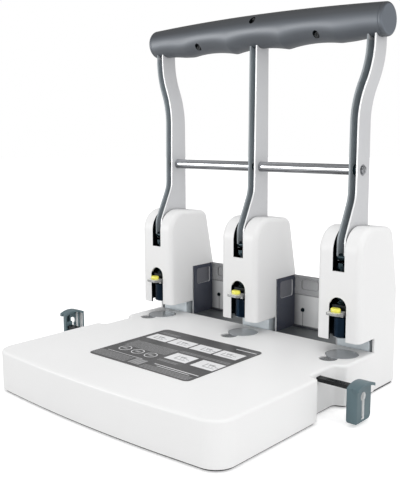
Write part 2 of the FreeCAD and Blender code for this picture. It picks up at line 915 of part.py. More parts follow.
def barrel():
    # Solid of revolution about the grip axis, thickest in the middle
    reach = grip_half_length + seat_gap + grip_cap_length
    y = head_y(grip_y)
    start = V(-reach, y, grip_z + grip_end_radius)
    top = V(0, y, grip_z + grip_radius)
    end = V(reach, y, grip_z + grip_end_radius)
    left = V(-reach, y, grip_z)
    right = V(reach, y, grip_z)
    edges = [Part.Arc(start, top, end).toShape(), Part.makeLine(end, right),
             Part.makeLine(right, left), Part.makeLine(left, start)]
    return Part.Face(Part.Wire(edges)).revolve(V(0, y, grip_z), V(1, 0, 0), full_turn)


def wave_cutters():
    low = grip_z - grip_radius
    y = head_y(grip_y)
    cutters = []
    for step in range(-wave_count, wave_count + 1):
        cutters.append(cylinder_y(wave_middle + step * wave_pitch, y - grip_radius, y + grip_radius,
                                  low + wave_rise - wave_radius, wave_radius))
    return cutters


def arm_pockets():
    pockets = []
    for name, x in head_x.items():
        top_x = x + sides.get(name, 0) * arm_spread
        reach = arm_half_width + running_gap
        pockets.append(box(top_x - reach, top_x + reach, head_y(arm_front_top - pocket_gap),
                           head_y(arm_rear_top + pocket_gap), spread_high_z - grip_radius,
                           arm_top_z + running_gap))
    return pockets


def grip_screw_spots():
    return [
        (grip_screw_middle - grip_screw_pitch, grip_z - grip_screw_drop),
        (grip_screw_middle, grip_z + grip_screw_lift),
        (grip_screw_middle + grip_screw_pitch, grip_z - grip_screw_drop),
    ]


def make_grip_half(front):
    reach = grip_half_length
    y = head_y(grip_y)
    wide = grip_radius + overshoot
    low = grip_z - wide
    high = grip_z + wide
    split = grip_split_gap / 2
    if front:
        keep = box(-reach, reach, y - wide, y - split, low, high)
    else:
        keep = box(-reach, reach, y + split, y + wide, low, high)
    body = barrel().common(keep).cut(wave_cutters() + arm_pockets())
    body = body.cut(cylinder_x(-reach, reach, y, grip_z, grip_core_radius + fit))
    seat = y - grip_screw_seat
    for x, z in grip_screw_spots():
        if front:
            body = body.cut(cylinder_y(x, y - wide, seat, z, grip_screw_well_radius))
        body = body.cut(cylinder_y(x, seat, seat + grip_screw_length + fit, z, grip_screw_radius + fit))
    return body.removeSplitter()


def make_grip_screws():
    screws = []
    seat = head_y(grip_y) - grip_screw_seat
    for x, z in grip_screw_spots():
        head = cylinder_y(x, seat - grip_screw_head, seat, z, grip_screw_head_radius)
        shank = cylinder_y(x, seat - grip_screw_head, seat + grip_screw_length, z, grip_screw_radius)
        screws.append(joined([head, shank]))
    return Part.makeCompound(screws)


def make_grip_core():
    reach = grip_half_length
    y = head_y(grip_y)
    tube = cylinder_x(-reach, reach, y, grip_z, grip_core_radius)
    return tube.cut(cylinder_x(-reach, reach, y, grip_z, grip_core_bore))


def make_grip_cap(side):
    start = side * (grip_half_length + seat_gap)
    end = start + side * grip_cap_length
    y = head_y(grip_y)
    wide = grip_radius
    body = barrel().common(box(start, end, y - wide, y + wide, grip_z - wide, grip_z + wide))
    body = body.cut(wave_cutters())
    rim = edges_where(body, lambda e, m: abs(m.x - end) < fit)
    return body.makeFillet(grip_cap_edge, rim)


# Guards

def make_guard():
    # Right-hand guard, between the centre and the right head
    x0 = cover_half_width - guard_wall
    x1 = hole_spacing - x0
    back = head_y(rear_y) - rear_wall - seat_gap
    front = head_y(guard_front)
    low = die_plate_z + seat_gap
    wall = guard_wall
    body = joined([
        box(x0, x1, back - wall, back, low, guard_top_z),
        box(x0, x0 + wall, front, back, low, guard_top_z),
        box(x1 - wall, x1, front, back, low, guard_top_z),
        box(x0, x1, back - guard_foot_depth, back, low, low + guard_foot_height),
        box(x0, x1, back - wall - guard_rim, back, guard_top_z - guard_rim_height, guard_top_z),
    ])
    face = back - wall
    cuts = []
    for a, b in ((pocket_inner, pocket_outer), (hole_spacing - pocket_outer, hole_spacing - pocket_inner)):
        r = pocket_corner
        points = [(a, pocket_low_z, r), (b, pocket_low_z, r), (b, pocket_high_z, r), (a, pocket_high_z, r)]
        cuts.append(front_prism(points, face - fit, face + pocket_depth))
    for a, b in ((x0 + wall - pocket_depth, x0 + wall + fit), (x1 - wall - fit, x1 - wall + pocket_depth)):
        r = pocket_corner
        y0 = head_y(side_pocket_front)
        y1 = head_y(side_pocket_rear)
        points = [(y0, side_pocket_low_z, r), (y1, side_pocket_low_z, r),
                  (y1, pocket_high_z, r), (y0, pocket_high_z, r)]
        cuts.append(side_prism(points, a, b))
    half = groove_width / 2
    cuts.append(box(x0 + wall, x1 - wall, face - fit, face + groove_depth, shelf_z - half, shelf_z + half))
    for x in (guard_screw_x, hole_spacing - guard_screw_x):
        cuts.append(box(x - half, x + half, face - fit, face + groove_depth,
                        low + guard_foot_height, guard_screw_z))
        cuts.append(cylinder_y(x, face - overshoot, back + overshoot, guard_screw_z,
                               guard_screw_radius + fit))
    return body.cut(cuts)


def make_guard_screws():
    screws = []
    face = head_y(rear_y) - rear_wall - seat_gap - guard_wall
    for x in guard_screw_spots():
        head = cylinder_y(x, face - guard_screw_head, face, guard_screw_z, guard_screw_head_radius)
        shank = cylinder_y(x, face - guard_screw_head, face + guard_screw_length, guard_screw_z,
                           guard_screw_radius)
        screws.append(joined([head, shank]))
    return Part.makeCompound(screws)


# Paper guides

def guide_block(outer, inset):
    # Guide body drawn on the right-hand side: round at the outer front edge, arched on top
    y0 = head_y(-guide_y_front) + inset
    y1 = head_y(-guide_y_rear) - inset
    inner = outer - guide_depth - (overshoot if inset else 0.0)
    face = outer - inset
    top = guide_top + guide_crown
    block = plan([(inner, y0, 0), (face, y0, guide_front_radius), (face, y1, 0), (inner, y1, 0)],
                 guide_bottom + inset, top)
    middle = (y0 + y1) / 2
    edges = [
        Part.Arc(V(inner, y0, guide_top - inset), V(inner, middle, top - inset),
                 V(inner, y1, guide_top - inset)).toShape(),
        Part.makeLine(V(inner, y1, guide_top - inset), V(inner, y1, guide_bottom)),
        Part.makeLine(V(inner, y1, guide_bottom), V(inner, y0, guide_bottom)),
        Part.makeLine(V(inner, y0, guide_bottom), V(inner, y0, guide_top - inset)),
    ]
    arch = Part.Face(Part.Wire(edges)).extrude(V(face - inner, 0, 0))
    return block.common(arch)


def guide_lip(outer):
    # Lip along the top of the outer face, following the arch
    y0 = head_y(-guide_y_front)
    y1 = head_y(-guide_y_rear)
    middle = (y0 + y1) / 2
    start = outer - guide_sheet
    thick = guide_lip_thickness
    arcs = []
    for drop in (0.0, thick):
        arcs.append([V(start, y0, guide_top - drop), V(start, middle, guide_top + guide_crown - drop),
                     V(start, y1, guide_top - drop)])
    upper, lower = arcs
    edges = [
        Part.Arc(*upper).toShape(),
        Part.makeLine(upper[-1], lower[-1]),
        Part.Arc(*reversed(lower)).toShape(),
        Part.makeLine(lower[0], upper[0]),
    ]
    band = Part.Face(Part.Wire(edges)).extrude(V(guide_sheet + guide_lip_rear, 0, 0))
    outline_points = [(start, y0, 0), (outer + guide_lip_front, y0, guide_lip_front / 2),
                      (outer + guide_lip_rear, y1, guide_lip_corner), (start, y1, 0)]
    return band.common(plan(outline_points, guide_bottom, guide_top + guide_crown))


def make_guide_plate(name):
    outer = guide_outer_x[name]
    inner = outer - guide_depth
    y0 = head_y(-guide_y_front)
    y1 = head_y(-guide_y_rear)
    top = guide_top + guide_crown
    r = guide_corner_radius
    keep = side_prism([(y0, guide_bottom, r), (y1, guide_bottom, r), (y1, top, 0), (y0, top, 0)],
                      inner, outer)
    ribs = []
    for spot in rib_spots:
        y = head_y(-spot)
        ribs.append(box(inner + guide_sheet, outer, y - rib_width / 2, y + rib_width / 2, guide_bottom, top))
    boss_y = head_y(-rail_y)
    reach = rail_half_width + small_gap
    boss_low_z = rail_top_z[name] - rail_height - small_gap
    boss_top_z = min(top, rail_top_z[name] + boss_cover)
    ribs.append(box(inner, outer, y0, boss_y + reach, boss_low_z, boss_top_z))
    room = guide_block(outer, guide_sheet).cut(ribs)
    shell = guide_block(outer, 0.0).common(keep).cut(room)
    shell = joined([shell, guide_lip(outer)])
    y = head_y(-key_y)
    stem = key_stem_half_width
    shell = shell.cut([
        cylinder_x(inner - overshoot, outer + overshoot, y, key_head_z, key_head_radius),
        box(inner - overshoot, outer + overshoot, y - stem, y + stem, key_stem_low_z, key_head_z),
    ])
    return shell if name == "right" else mirrored(shell)


def make_guide_rail(name):
    outer = guide_outer_x[name] - guide_depth - seat_gap
    start = outer - rail_length
    y = head_y(-rail_y)
    w = rail_half_width
    top = rail_top_z[name]
    rail = box(start, outer, y - w, y + w, top - rail_height, top)
    for side in sides.values():
        middle = y + side * rail_groove_spread
        half = rail_groove / 2
        rail = rail.cut(box(start, outer, middle - half, middle + half, top - rail_groove, top))
    return rail if name == "right" else mirrored(rail)


def guide_channel(name):
    # Channel that carries one rail, hung from the table between two side walls
    y = head_y(-rail_y)
    w = rail_half_width + small_gap
    top = table_top_z - table_wall - seat_gap
    low = rail_top_z[name] - rail_height - small_gap
    high = rail_top_z[name] + small_gap
    outer_w = w + channel_sheet
    body = box(channel_inner_x, channel_outer_x, y - outer_w, y + outer_w, low - channel_sheet, top)
    body = body.cut(box(channel_inner_x, channel_outer_x, y - w, y + w, low, high))
    if high + channel_sheet < top:
        body = body.cut(box(channel_inner_x, channel_outer_x, y - w, y + w, high + channel_sheet, top))
    return body if name == "right" else mirrored(body)


def make_guide_channels():
    return Part.makeCompound([guide_channel(name) for name in sides])


def build():
    save("base_plate", make_base_plate())
    save("rubber_feet", make_feet())
    save("base_screws", make_base_screws())
    save("table_cover", make_table_cover())
    save("instruction_plate", make_instruction_plate())
    save("die_plate", make_die_plate())
    save("die_supports", make_die_supports())
    save("frame_bolts", make_frame_bolts())
    save("chip_tray", make_chip_tray())
    save("rear_cover", make_rear_cover())
    save("pivot_pins", make_pivot_pins())
    outer_cover = make_cover(True)
    centre_cover = make_cover(False)
    frame = make_frame()
    sleeve = make_sleeve()
    pin = make_punch_pin()
    cap = make_cap()
    spring = make_spring()
    latch = make_latch_plate()
    button = make_button()
    bar = make_drive_bar()
    for name, x in head_x.items():
        cover = {"left": mirrored(outer_cover), "centre": centre_cover, "right": outer_cover}[name]
        save("head_cover_" + name, moved_x(cover, x))
        save("head_frame_" + name, moved_x(frame, x))
        save("punch_sleeve_" + name, moved_x(sleeve, x))
        save("punch_pin_" + name, moved_x(pin, x))
        save("punch_cap_" + name, moved_x(cap, x))
        save("return_spring_" + name, moved_x(spring, x))
        save("cutting_disc_" + name, make_disc(x))
        save("latch_plate_" + name, moved_x(latch, x))
        save("latch_button_" + name, moved_x(button, x))
        save("lever_arm_" + name, make_arm(name))
        save("drive_bar_" + name, moved_x(bar, x))
    save("cross_bar", make_cross_bar())
    save("cross_bar_rivets", make_cross_rivets())
    save("grip_front", make_grip_half(True))
    save("grip_rear", make_grip_half(False))
    save("grip_core", make_grip_core())
    save("grip_screws", make_grip_screws())
    for name, side in sides.items():
        save("grip_cap_" + name, make_grip_cap(side))
    guard = make_guard()
    save("guard_right", guard)
    save("guard_left", mirrored(guard))
    save("guard_screws", make_guard_screws())
    save("guide_channels", make_guide_channels())
    for name in sides:
        save("guide_plate_" + name, make_guide_plate(name))
        save("guide_rail_" + name, make_guide_rail(name))


build()
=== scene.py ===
import json
import math
from functools import partial

import bmesh
import bpy
from mathutils import Matrix, Vector
from mathutils.bvhtree import BVHTree

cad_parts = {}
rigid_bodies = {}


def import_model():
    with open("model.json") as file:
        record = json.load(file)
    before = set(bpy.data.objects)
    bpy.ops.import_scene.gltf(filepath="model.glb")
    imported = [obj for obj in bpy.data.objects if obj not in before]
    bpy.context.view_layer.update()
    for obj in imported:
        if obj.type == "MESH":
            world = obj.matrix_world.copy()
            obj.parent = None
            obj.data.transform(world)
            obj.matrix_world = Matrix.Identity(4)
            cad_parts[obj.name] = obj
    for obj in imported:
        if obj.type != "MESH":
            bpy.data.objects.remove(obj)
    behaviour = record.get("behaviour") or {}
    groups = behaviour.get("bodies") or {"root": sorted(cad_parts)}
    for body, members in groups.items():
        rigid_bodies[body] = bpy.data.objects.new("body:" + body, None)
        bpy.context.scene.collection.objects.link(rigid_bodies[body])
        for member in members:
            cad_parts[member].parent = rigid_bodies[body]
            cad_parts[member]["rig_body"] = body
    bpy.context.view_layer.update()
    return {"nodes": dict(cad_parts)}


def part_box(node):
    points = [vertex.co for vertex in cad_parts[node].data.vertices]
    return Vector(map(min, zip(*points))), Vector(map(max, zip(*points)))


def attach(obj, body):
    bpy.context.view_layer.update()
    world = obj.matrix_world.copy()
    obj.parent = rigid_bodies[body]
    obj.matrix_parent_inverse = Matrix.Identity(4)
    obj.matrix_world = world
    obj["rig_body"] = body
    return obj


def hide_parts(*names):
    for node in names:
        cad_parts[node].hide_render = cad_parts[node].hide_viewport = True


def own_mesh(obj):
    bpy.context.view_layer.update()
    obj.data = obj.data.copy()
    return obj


bl_info = {
    "name": "Three-head lever punch",
    "version": (1, 0, 0),
    "blender": (4, 5, 0),
    "location": "3D View > Sidebar > Punch",
    "description": "Dresses the packed lever punch: mouldings, metals, label, springs and studio",
    "category": "Object",
}

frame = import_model()
NODES = frame["nodes"]
HEADS = ("left", "centre", "right")
SIDES = ("left", "right")

# Lengths, in metres
MM = 0.001
MICRON = 0.000001
SAME_PLACE = 0.000001
SKIN = 0.0001

# Places and depths on the heads, the levers and the grip, in metres
HOLE_SPACING = 0.108
HEAD_HOLLOW_Z = 0.1
FRONT_OF_ARMS = 0.09
CHANNEL_REACH = 0.0042
CHANNEL_WIDTH = 0.008
FLANGE_THICKNESS = 0.0025
FLANGE_DEPTH = 0.003
FLANGE_GAP = 0.012
WELL_REACH = 0.012
WELL_FLOOR = 0.0016
WAVE_BLEND = 0.0006

# The keyhole of a paper guide: its place behind the front end, and the room around it
KEY_PLACE = 0.0132
KEY_ALONG = (-0.0045, 0.0105)
KEY_UP = (0.003, 0.030)

# Depths in a smoked guard, from its foot, top, back and sides
GUARD_FOOT = 0.0019
GUARD_RIM = 0.0024
GUARD_TOP = 0.0006
GUARD_WALL = 0.0021
GUARD_LEDGE = 0.0018
POCKET_WALL = (0.0005, 0.0013)
POCKET_EDGE = (0.0010, 0.0019)
GROOVE_SIDE = 0.0022

# Shares: height of the guards' shelf line and of a sleeve's rim with its painted highlight, and the
# floor of a well
SHELF_SHARE = 0.632
SLEEVE_RIM_SHARE = 0.05
WELL_FLOOR_SHARE = 0.6

# Shares in a screw: head height to its radius and to the whole, shank, top and cross of the head
HEAD_HEIGHT_SHARE = 0.5
HEAD_LENGTH_SHARE = 0.3
SHANK_SHARE = 0.6
HEAD_TOP_SHARE = 0.82
CROSS_SHARES = (1.15, 0.26)
CROSS_LIFT_SHARE = 0.95

# Where round the grip the finger waves start and end their fade, from level to straight down
FADE_START = -0.25
FADE_END = 0.95

# Angles in degrees, for joining flat faces, rounding edges and smooth shading
FLAT_ANGLE = 0.6
SHARP_ANGLE = 28.0
SMOOTH_ANGLE = 34.0
GRIP_END_ANGLE = 69.0
GRIP_SMOOTH_ANGLE = 32
SCREW_SMOOTH_ANGLE = 30

# Parts of a face's direction, which tell walls, floors and fronts apart
FLAT = 0.9
LEVEL = 0.8
MOSTLY = 0.7
HALFWAY = 0.5
FORWARD = -0.55

# Light of the studio
LIT_SKY = 1.0
MIRRORED_SKY = 0.42
FLOOR_GLOW = 0.44

# Camera that matches the photo
CAMERA_SPOT = (0.42318, -0.46834, 0.22579)
CAMERA_YAW = 41.74
CAMERA_PITCH = 8.40
CAMERA_ROLL = -0.29
CAMERA_LENS = 54.78
CAMERA_SENSOR = 36.0


def body_of_node(node):
    return NODES[node]["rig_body"]


# Sizes and colours that a user would change


def length(name, description, default):
    return bpy.props.FloatProperty(
        name=name, description=description, default=default, min=0.0, unit="LENGTH", precision=5
    )


def colour(name, description, default):
    return bpy.props.FloatVectorProperty(
        name=name, description=description, default=default, size=3, min=0.0, max=1.0,
        subtype="COLOR"
    )


class PunchSizes(bpy.types.PropertyGroup):
    grip_edge: length("Grip edge", "Radius of the edges of the grip halves", 0.0006)
    sheet_edge: length("Sheet edge", "Radius of the edges of the lever arms", 0.0004)
    metal_edge: length("Metal edge", "Radius of the edges of cast and turned metal", 0.0005)
    small_edge: length("Small edge", "Radius of the edges of small mouldings", 0.0003)
    guard_edge: length("Guard edge", "Radius of the edges of the smoked guards", 0.0003)
    print_lift: length("Print lift", "Thickness of the printed panels on the plate", 0.00005)
    line_width: length("Line width", "Width of the fine printed lines", 0.0007)
    grip_middle: length("Grip middle radius", "Radius of the grip at its thickest place", 0.0172)
    grip_end: length("Grip end radius", "Radius of the grip at its two ends", 0.0137)
    wave_pitch: length("Wave pitch", "Distance from one finger wave to the next", 0.060)
    wave_middle: length("Wave middle", "Place of the middle finger wave", 0.0035)
    wave_rise: length("Wave rise", "Depth of the finger waves", 0.0034)
    wave_radius: length("Wave radius", "Radius of each finger wave", 0.156)
    well_radius: length("Well radius", "Radius of the screw wells in the grip", 0.0031)
    spring_wire: length("Spring wire", "Diameter of the return spring wire", 0.0012)
    spring_radius: length("Spring radius", "Outside radius of the return springs", 0.0054)
    spring_turns: bpy.props.IntProperty(
        name="Spring turns", description="Active turns of each return spring", default=8, min=3,
        max=20
    )


class PunchColours(bpy.types.PropertyGroup):
    cover: colour("Covers", "Glossy white moulding", (0.85, 0.85, 0.85))
    base: colour("Base", "Black sheet under the table", (0.02, 0.021, 0.023))
    plate: colour("Plate", "Dark printed plate on the table", (0.075, 0.075, 0.077))
    panel: colour("Panels", "Pale panels printed on the plate", (0.82, 0.82, 0.83))
    hatch: colour("Hatch", "Mid grey print on the plate", (0.36, 0.36, 0.365))
    arm: colour("Arms", "Satin grey lever arms", (0.64, 0.645, 0.66))
    # Painted shade: this tone darkens the faces inside each arm's channel.
    channel: colour("Channels", "Inner faces of the lever arms", (0.50, 0.55, 0.58))
    chrome: colour("Chrome", "Polished cross bar", (0.47, 0.48, 0.50))
    cast: colour("Castings", "Blue-grey cast frames", (0.76, 0.83, 0.87))
    # Painted shade: this near-black stands for the shade inside the heads, the grip's screw wells
    # and their screws.
    inside: colour("Inside", "Blackened parts inside the heads", (0.003, 0.006, 0.008))
    blued: colour("Sleeves", "Blued punch sleeves", (0.001, 0.014, 0.034))
    steel: colour("Steel", "Bright turned steel", (0.52, 0.53, 0.55))
    latch: colour("Latches", "Pale latch plates", (0.78, 0.79, 0.79))
    grip: colour("Grip", "Slate soft grip", (0.066, 0.076, 0.090))
    guard: colour("Guards", "Smoked clear plastic", (0.030, 0.033, 0.045))
    guide: colour("Guides", "Blue-grey paper guides", (0.105, 0.160, 0.180))
    rail: colour("Rails", "Black guide rails", (0.012, 0.014, 0.016))
    button: colour("Buttons", "Yellow latch buttons", (0.95, 0.89, 0.13))
    disc: colour("Discs", "Grey cutting discs", (0.29, 0.305, 0.32))
    tray: colour("Tray", "Grey tray under the heads", (0.20, 0.21, 0.22))
    rubber: colour("Rubber", "Black rubber feet", (0.015, 0.015, 0.015))


def sizes():
    return bpy.context.scene.punch_sizes


def colours():
    return bpy.context.scene.punch_colours


# Nodes of materials and of geometry


def put(tree, socket, value):
    """Sets an input to a plain value, or links it to one output or to each output of a list."""
    if isinstance(value, list):
        for outlet in value:
            tree.links.new(outlet, socket)
    elif isinstance(value, bpy.types.NodeSocket):
        tree.links.new(value, socket)
    else:
        socket.default_value = value


def fill(tree, node, given):
    for name, value in given.items():
        put(tree, node.inputs[name], value)


def result(tree, kind, given, **settings):
    """Adds a node, fills its named inputs and gives its first output."""
    node = tree.nodes.new(kind)
    for name, value in settings.items():
        setattr(node, name, value)
    fill(tree, node, given)
    return node.outputs[0]


def calc(tree, operation, *values):
    node = tree.nodes.new("ShaderNodeMath")
    node.operation = operation
    for socket, value in zip(node.inputs, values):
        put(tree, socket, value)
    return node.outputs["Value"]


def spot_parts(tree, vector):
    parts = tree.nodes.new("ShaderNodeSeparateXYZ")
    put(tree, parts.inputs["Vector"], vector)
    return parts.outputs["X"], parts.outputs["Y"], parts.outputs["Z"]


def object_place(tree, outlet="Object"):
    return tree.nodes.new("ShaderNodeTexCoord").outputs[outlet]


# Finishes

EVEN = (1, 1, 1)

# For each finish: its colour and the share of it used, tone of the darker patches, patches to a
# metre, lowest and highest roughness, grains to a metre, microns of grain depth, strength of the
# grain, and what differs from an even grain without metal
FINISHES = {
    "white_moulding": ("cover", 1, 0.985, 9, 0.34, 0.40, 700, 6, 0.15, {"specular": 0.22}),
    "white_table": ("cover", 1, 0.985, 9, 0.34, 0.40, 700, 6, 0.15, {"specular": 0.2}),
    "black_sheet": ("base", 1, 0.8, 22, 0.42, 0.52, 1500, 10, 0.3, {}),
    "black_rubber": ("rubber", 1, 0.75, 60, 0.70, 0.85, 2200, 30, 0.5, {}),
    "printed_plate": ("plate", 1, 0.93, 30, 0.34, 0.42, 2600, 6, 0.3, {}),
    "pale_print": ("panel", 1, 0.95, 60, 0.38, 0.46, 2600, 4, 0.2, {}),
    "grey_print": ("hatch", 1, 0.9, 60, 0.40, 0.48, 2600, 4, 0.2, {}),
    "satin_arm": ("arm", 1, 0.96, 14, 0.44, 0.52, 520, 10, 0.2,
                  {"metal": 0.15, "stretch": (3, 3, 0.35), "specular": 0.35}),
    # Painted shade inside the arms' channels and on their front edges, and a painted highlight on
    # the right flanges' front edges.
    "arm_channel": ("channel", 1, 0.9, 16, 0.34, 0.42, 520, 10, 0.2,
                    {"metal": 0.35, "stretch": (3, 3, 0.35)}),
    "dull_edge": ("channel", 0.7, 0.9, 30, 0.50, 0.58, 900, 4, 0.15,
                  {"stretch": (3, 3, 0.3), "specular": 0.15}),
    "bright_edge": ((0.93, 0.935, 0.94), 1, 0.98, 30, 0.16, 0.24, 900, 4, 0.15,
                    {"stretch": (3, 3, 0.3)}),
    "cast_metal": ("cast", 1, 0.90, 70, 0.34, 0.46, 650, 50, 0.4, {"metal": 0.15}),
    "strip_metal": ("cast", 0.16, 0.86, 40, 0.28, 0.40, 900, 10, 0.3,
                    {"metal": 0.4, "stretch": (0.3, 3, 3)}),
    # Painted shade for hollows: inside the heads and in the grip's screw wells.
    "black_inside": ("inside", 1, 0.7, 60, 0.34, 0.48, 700, 30, 0.35,
                     {"metal": 0.1, "specular": 0.2}),
    "blued_steel": ("blued", 1, 0.55, 40, 0.16, 0.24, 1200, 5, 0.2,
                    {"metal": 0.8, "stretch": (0.6, 0.6, 6)}),
    "turned_steel": ("steel", 1, 0.88, 60, 0.16, 0.26, 1400, 6, 0.25,
                     {"metal": 1.0, "stretch": (1, 1, 6)}),
    # A bright steel rim on the blued sleeve, bright as a painted highlight.
    "ground_rim": ((0.74, 0.80, 0.85), 1, 0.92, 60, 0.14, 0.22, 1400, 6, 0.25, {"metal": 0.9}),
    # Dark steel, also used as painted shade on the pins, caps, drive bars and springs seen inside
    # the slots.
    "dark_steel": ((0.006, 0.018, 0.024), 1, 0.6, 60, 0.22, 0.32, 1300, 8, 0.25,
                   {"metal": 0.5, "specular": 0.25}),
    "latch_metal": ("latch", 1, 0.9, 70, 0.24, 0.34, 900, 10, 0.25, {"metal": 0.4}),
    # Painted shade on the latch plates' edges.
    "latch_rim": ("latch", 0.4, 0.85, 70, 0.26, 0.36, 900, 10, 0.25, {"metal": 0.4}),
    "blue_guide": ("guide", 1, 0.88, 30, 0.30, 0.38, 1500, 10, 0.3, {"specular": 0.4}),
    "black_rail": ("rail", 1, 0.7, 40, 0.22, 0.32, 900, 10, 0.25,
                   {"metal": 0.4, "stretch": (0.2, 4, 4)}),
    # Painted highlight along the rails' groove floors.
    "rail_line": ((0.30, 0.32, 0.34), 1, 0.9, 60, 0.2, 0.3, 900, 4, 0.15,
                  {"metal": 0.4, "stretch": (0.2, 4, 4)}),
    # Painted light: the keyhole faces are near white.
    "bright_edge_of_key": ((0.93, 0.94, 0.94), 1, 0.97, 60, 0.30, 0.40, 900, 4, 0.15, {}),
    "yellow_button": ("button", 1, 0.95, 80, 0.22, 0.30, 1500, 6, 0.2, {}),
    "grey_disc": ("disc", 1, 0.92, 45, 0.14, 0.22, 1600, 5, 0.2, {}),
    "notch_grey": ("disc", 0.52, 0.9, 45, 0.24, 0.32, 1600, 5, 0.25, {}),
    "grey_tray": ("tray", 1, 0.92, 20, 0.34, 0.42, 1200, 10, 0.25, {}),
}

# For each smoked finish: its colour, if it has one tone, the share of it used, and its cover
# Apart from smoked_back, these tones are painted light: painted shade on the side walls, foot,
# pockets and grooves, a painted highlight on the rims, and painted light and shade along the low
# wall.
SMOKED = {
    "smoked_back": ((0.36, 0.365, 0.38), 1, 0.5),
    "smoked_low": (None, 1, 0.92),
    "smoked_side": ("guard", 2.4, 0.9),
    "smoked_pocket": ((0.20, 0.205, 0.23), 1, 0.9),
    "smoked_foot": ((0.05, 0.054, 0.064), 1, 0.95),
    "smoked_rim": ((0.80, 0.81, 0.83), 1, 0.85),
    "dark_groove": ((0.04, 0.04, 0.05), 1, 0.85),
}

# Places from 0 to 1 and tones of the smoked low wall, painted light and shade along it, and
# shares of the grip's tone, for painted shade on its top and underside and a painted
# highlight band just below its middle
LOW_WALL_PAINTED_LIGHT = (
    (0.19, (0.16, 0.163, 0.175)),
    (0.26, (0.62, 0.625, 0.63)),
    (0.42, (0.92, 0.93, 0.93)),
)
GRIP_PAINTED_LIGHT_BANDS = ((0.0, 0.80), (0.22, 1.15), (0.40, 2.1), (0.56, 1.7), (0.74, 0.7), (1.0, 0.22))


def shaded(tone, factor):
    return tuple(min(1.0, part * factor) for part in tone)


def tone_of(source, share):
    """A share of a plain tone, or of one of the user's colours by its name."""
    return shaded(tuple(getattr(colours(), source)) if isinstance(source, str) else source, share)


def placed_noise(tree, scale, detail, stretch=EVEN, seed=0.0):
    spot = result(tree, "ShaderNodeMapping", {
        "Vector": object_place(tree),
        "Scale": stretch,
        "Location": (seed, seed * 0.7, seed * 1.3),
    })
    return result(tree, "ShaderNodeTexNoise", {"Vector": spot, "Scale": scale, "Detail": detail})


def ramp(tree, value, stops):
    """Tones at places from 0 to 1 of a value, blended from each to the next."""
    node = tree.nodes.new("ShaderNodeValToRGB")
    marks = node.color_ramp.elements
    for index, (place, tone) in enumerate((stops[0], stops[-1])):
        marks[index].position = place
        marks[index].color = (*tone, 1)
    for place, tone in stops[1:-1]:
        marks.new(place).color = (*tone, 1)
    put(tree, node.inputs["Fac"], value)
    return node.outputs["Color"]


def two_tone(tree, value, first, second):
    return ramp(tree, value, ((0.35, first), (0.65, second)))


def dress(tree, shader, tone, fine, rough, depth, strength, metal=0.0, specular=0.5):
    """Gives a shader its tone and shine, and a roughness and a bump that follow a fine grain."""
    fill(tree, shader, {
        "Base Color": tone,
        "Metallic": metal,
        "Specular IOR Level": specular,
        "Roughness": result(tree, "ShaderNodeMapRange", {
            "Value": fine,
            "From Min": 0.3,
            "From Max": 0.7,
            "To Min": rough[0],
            "To Max": rough[1],
        }),
        "Normal": result(tree, "ShaderNodeBump", {
            "Height": fine, "Strength": strength, "Distance": depth * MICRON,
        }),
    })


def grained(tree, shader, name):
    """A tone with broad patches and a fine grain, as its row says."""
    source, share, dark, patch, low, high, grain, depth, strength, other = FINISHES[name]
    tone = tone_of(source, share)
    broad = placed_noise(tree, patch, 3.0)
    fine = placed_noise(tree, grain, 4.0, other.get("stretch", EVEN), 0.31)
    patches = two_tone(tree, broad, shaded(tone, dark), tone)
    dress(tree, shader, patches, fine, (low, high), depth, strength,
          other.get("metal", 0.0), other.get("specular", 0.5))


def drawn_bar_painted_reflections(tree, shader, name):
    """Fine lengthwise streaks of a drawn bar, their bright and dark contrast a painted reflection.
    """
    tone = tuple(colours().chrome)
    lines = placed_noise(tree, 210.0, 2.0, (0.004, 1, 1), 0.2)
    fine = placed_noise(tree, 1500.0, 3.0, (0.02, 1, 1), 0.5)
    streaks = two_tone(tree, lines, shaded(tone, 0.42), shaded(tone, 1.3))
    dress(tree, shader, streaks, fine, (0.10, 0.18), 3, 0.1, metal=1.0)


def soft_grip_painted_light(tree, shader, name):
    """Soft slate with painted shade on the top and under the belly, and a painted highlight band.
    """
    tone = tuple(colours().grip)
    broad = placed_noise(tree, 24.0, 3.0)
    fine = placed_noise(tree, 3200.0, 4.0, seed=0.31)
    _, _, rise = spot_parts(tree, object_place(tree, "Normal"))
    level = calc(tree, "MULTIPLY_ADD", rise, 0.5, 0.5)
    patches = calc(tree, "MULTIPLY", calc(tree, "SUBTRACT", broad, 0.5), 0.05)
    level = calc(tree, "ADD", level, patches)
    # Tones set by the way each face points stand in for studio light: painted shade above, painted
    # highlight near level.
    bands = ramp(tree, level, [(place, shaded(tone, share)) for place, share in GRIP_PAINTED_LIGHT_BANDS])
    dress(tree, shader, bands, fine, (0.44, 0.50), 20, 0.25, specular=0.7)


def smoked(tree, shader, name):
    """Clear plastic that lets through what its cover leaves; painted light and shade on the low
    wall pale it to the right.
    """
    source, share, cover = SMOKED[name]
    # The low wall gets painted light and shade: dark beside one head, pale towards the next.
    if source is None:
        x, _, _ = spot_parts(tree, object_place(tree))
        along = calc(tree, "FRACT", calc(tree, "DIVIDE", x, HOLE_SPACING))
        tones = ramp(tree, along, LOW_WALL_PAINTED_LIGHT)
    else:
        tone = tone_of(source, share)
        tones = two_tone(tree, placed_noise(tree, 14.0, 2.0), shaded(tone, 0.85), tone)
    fine = placed_noise(tree, 1600.0, 3.0, seed=0.4)
    dress(tree, shader, tones, fine, (0.20, 0.28), 4, 0.1, specular=0.45)
    shader.inputs["Alpha"].default_value = cover


def seen_rays(tree):
    """One for a ray that shows something to the camera, and zero for every other ray."""
    path = tree.nodes.new("ShaderNodeLightPath").outputs
    return calc(tree, "MAXIMUM", path["Is Camera Ray"], path["Is Transmission Ray"])


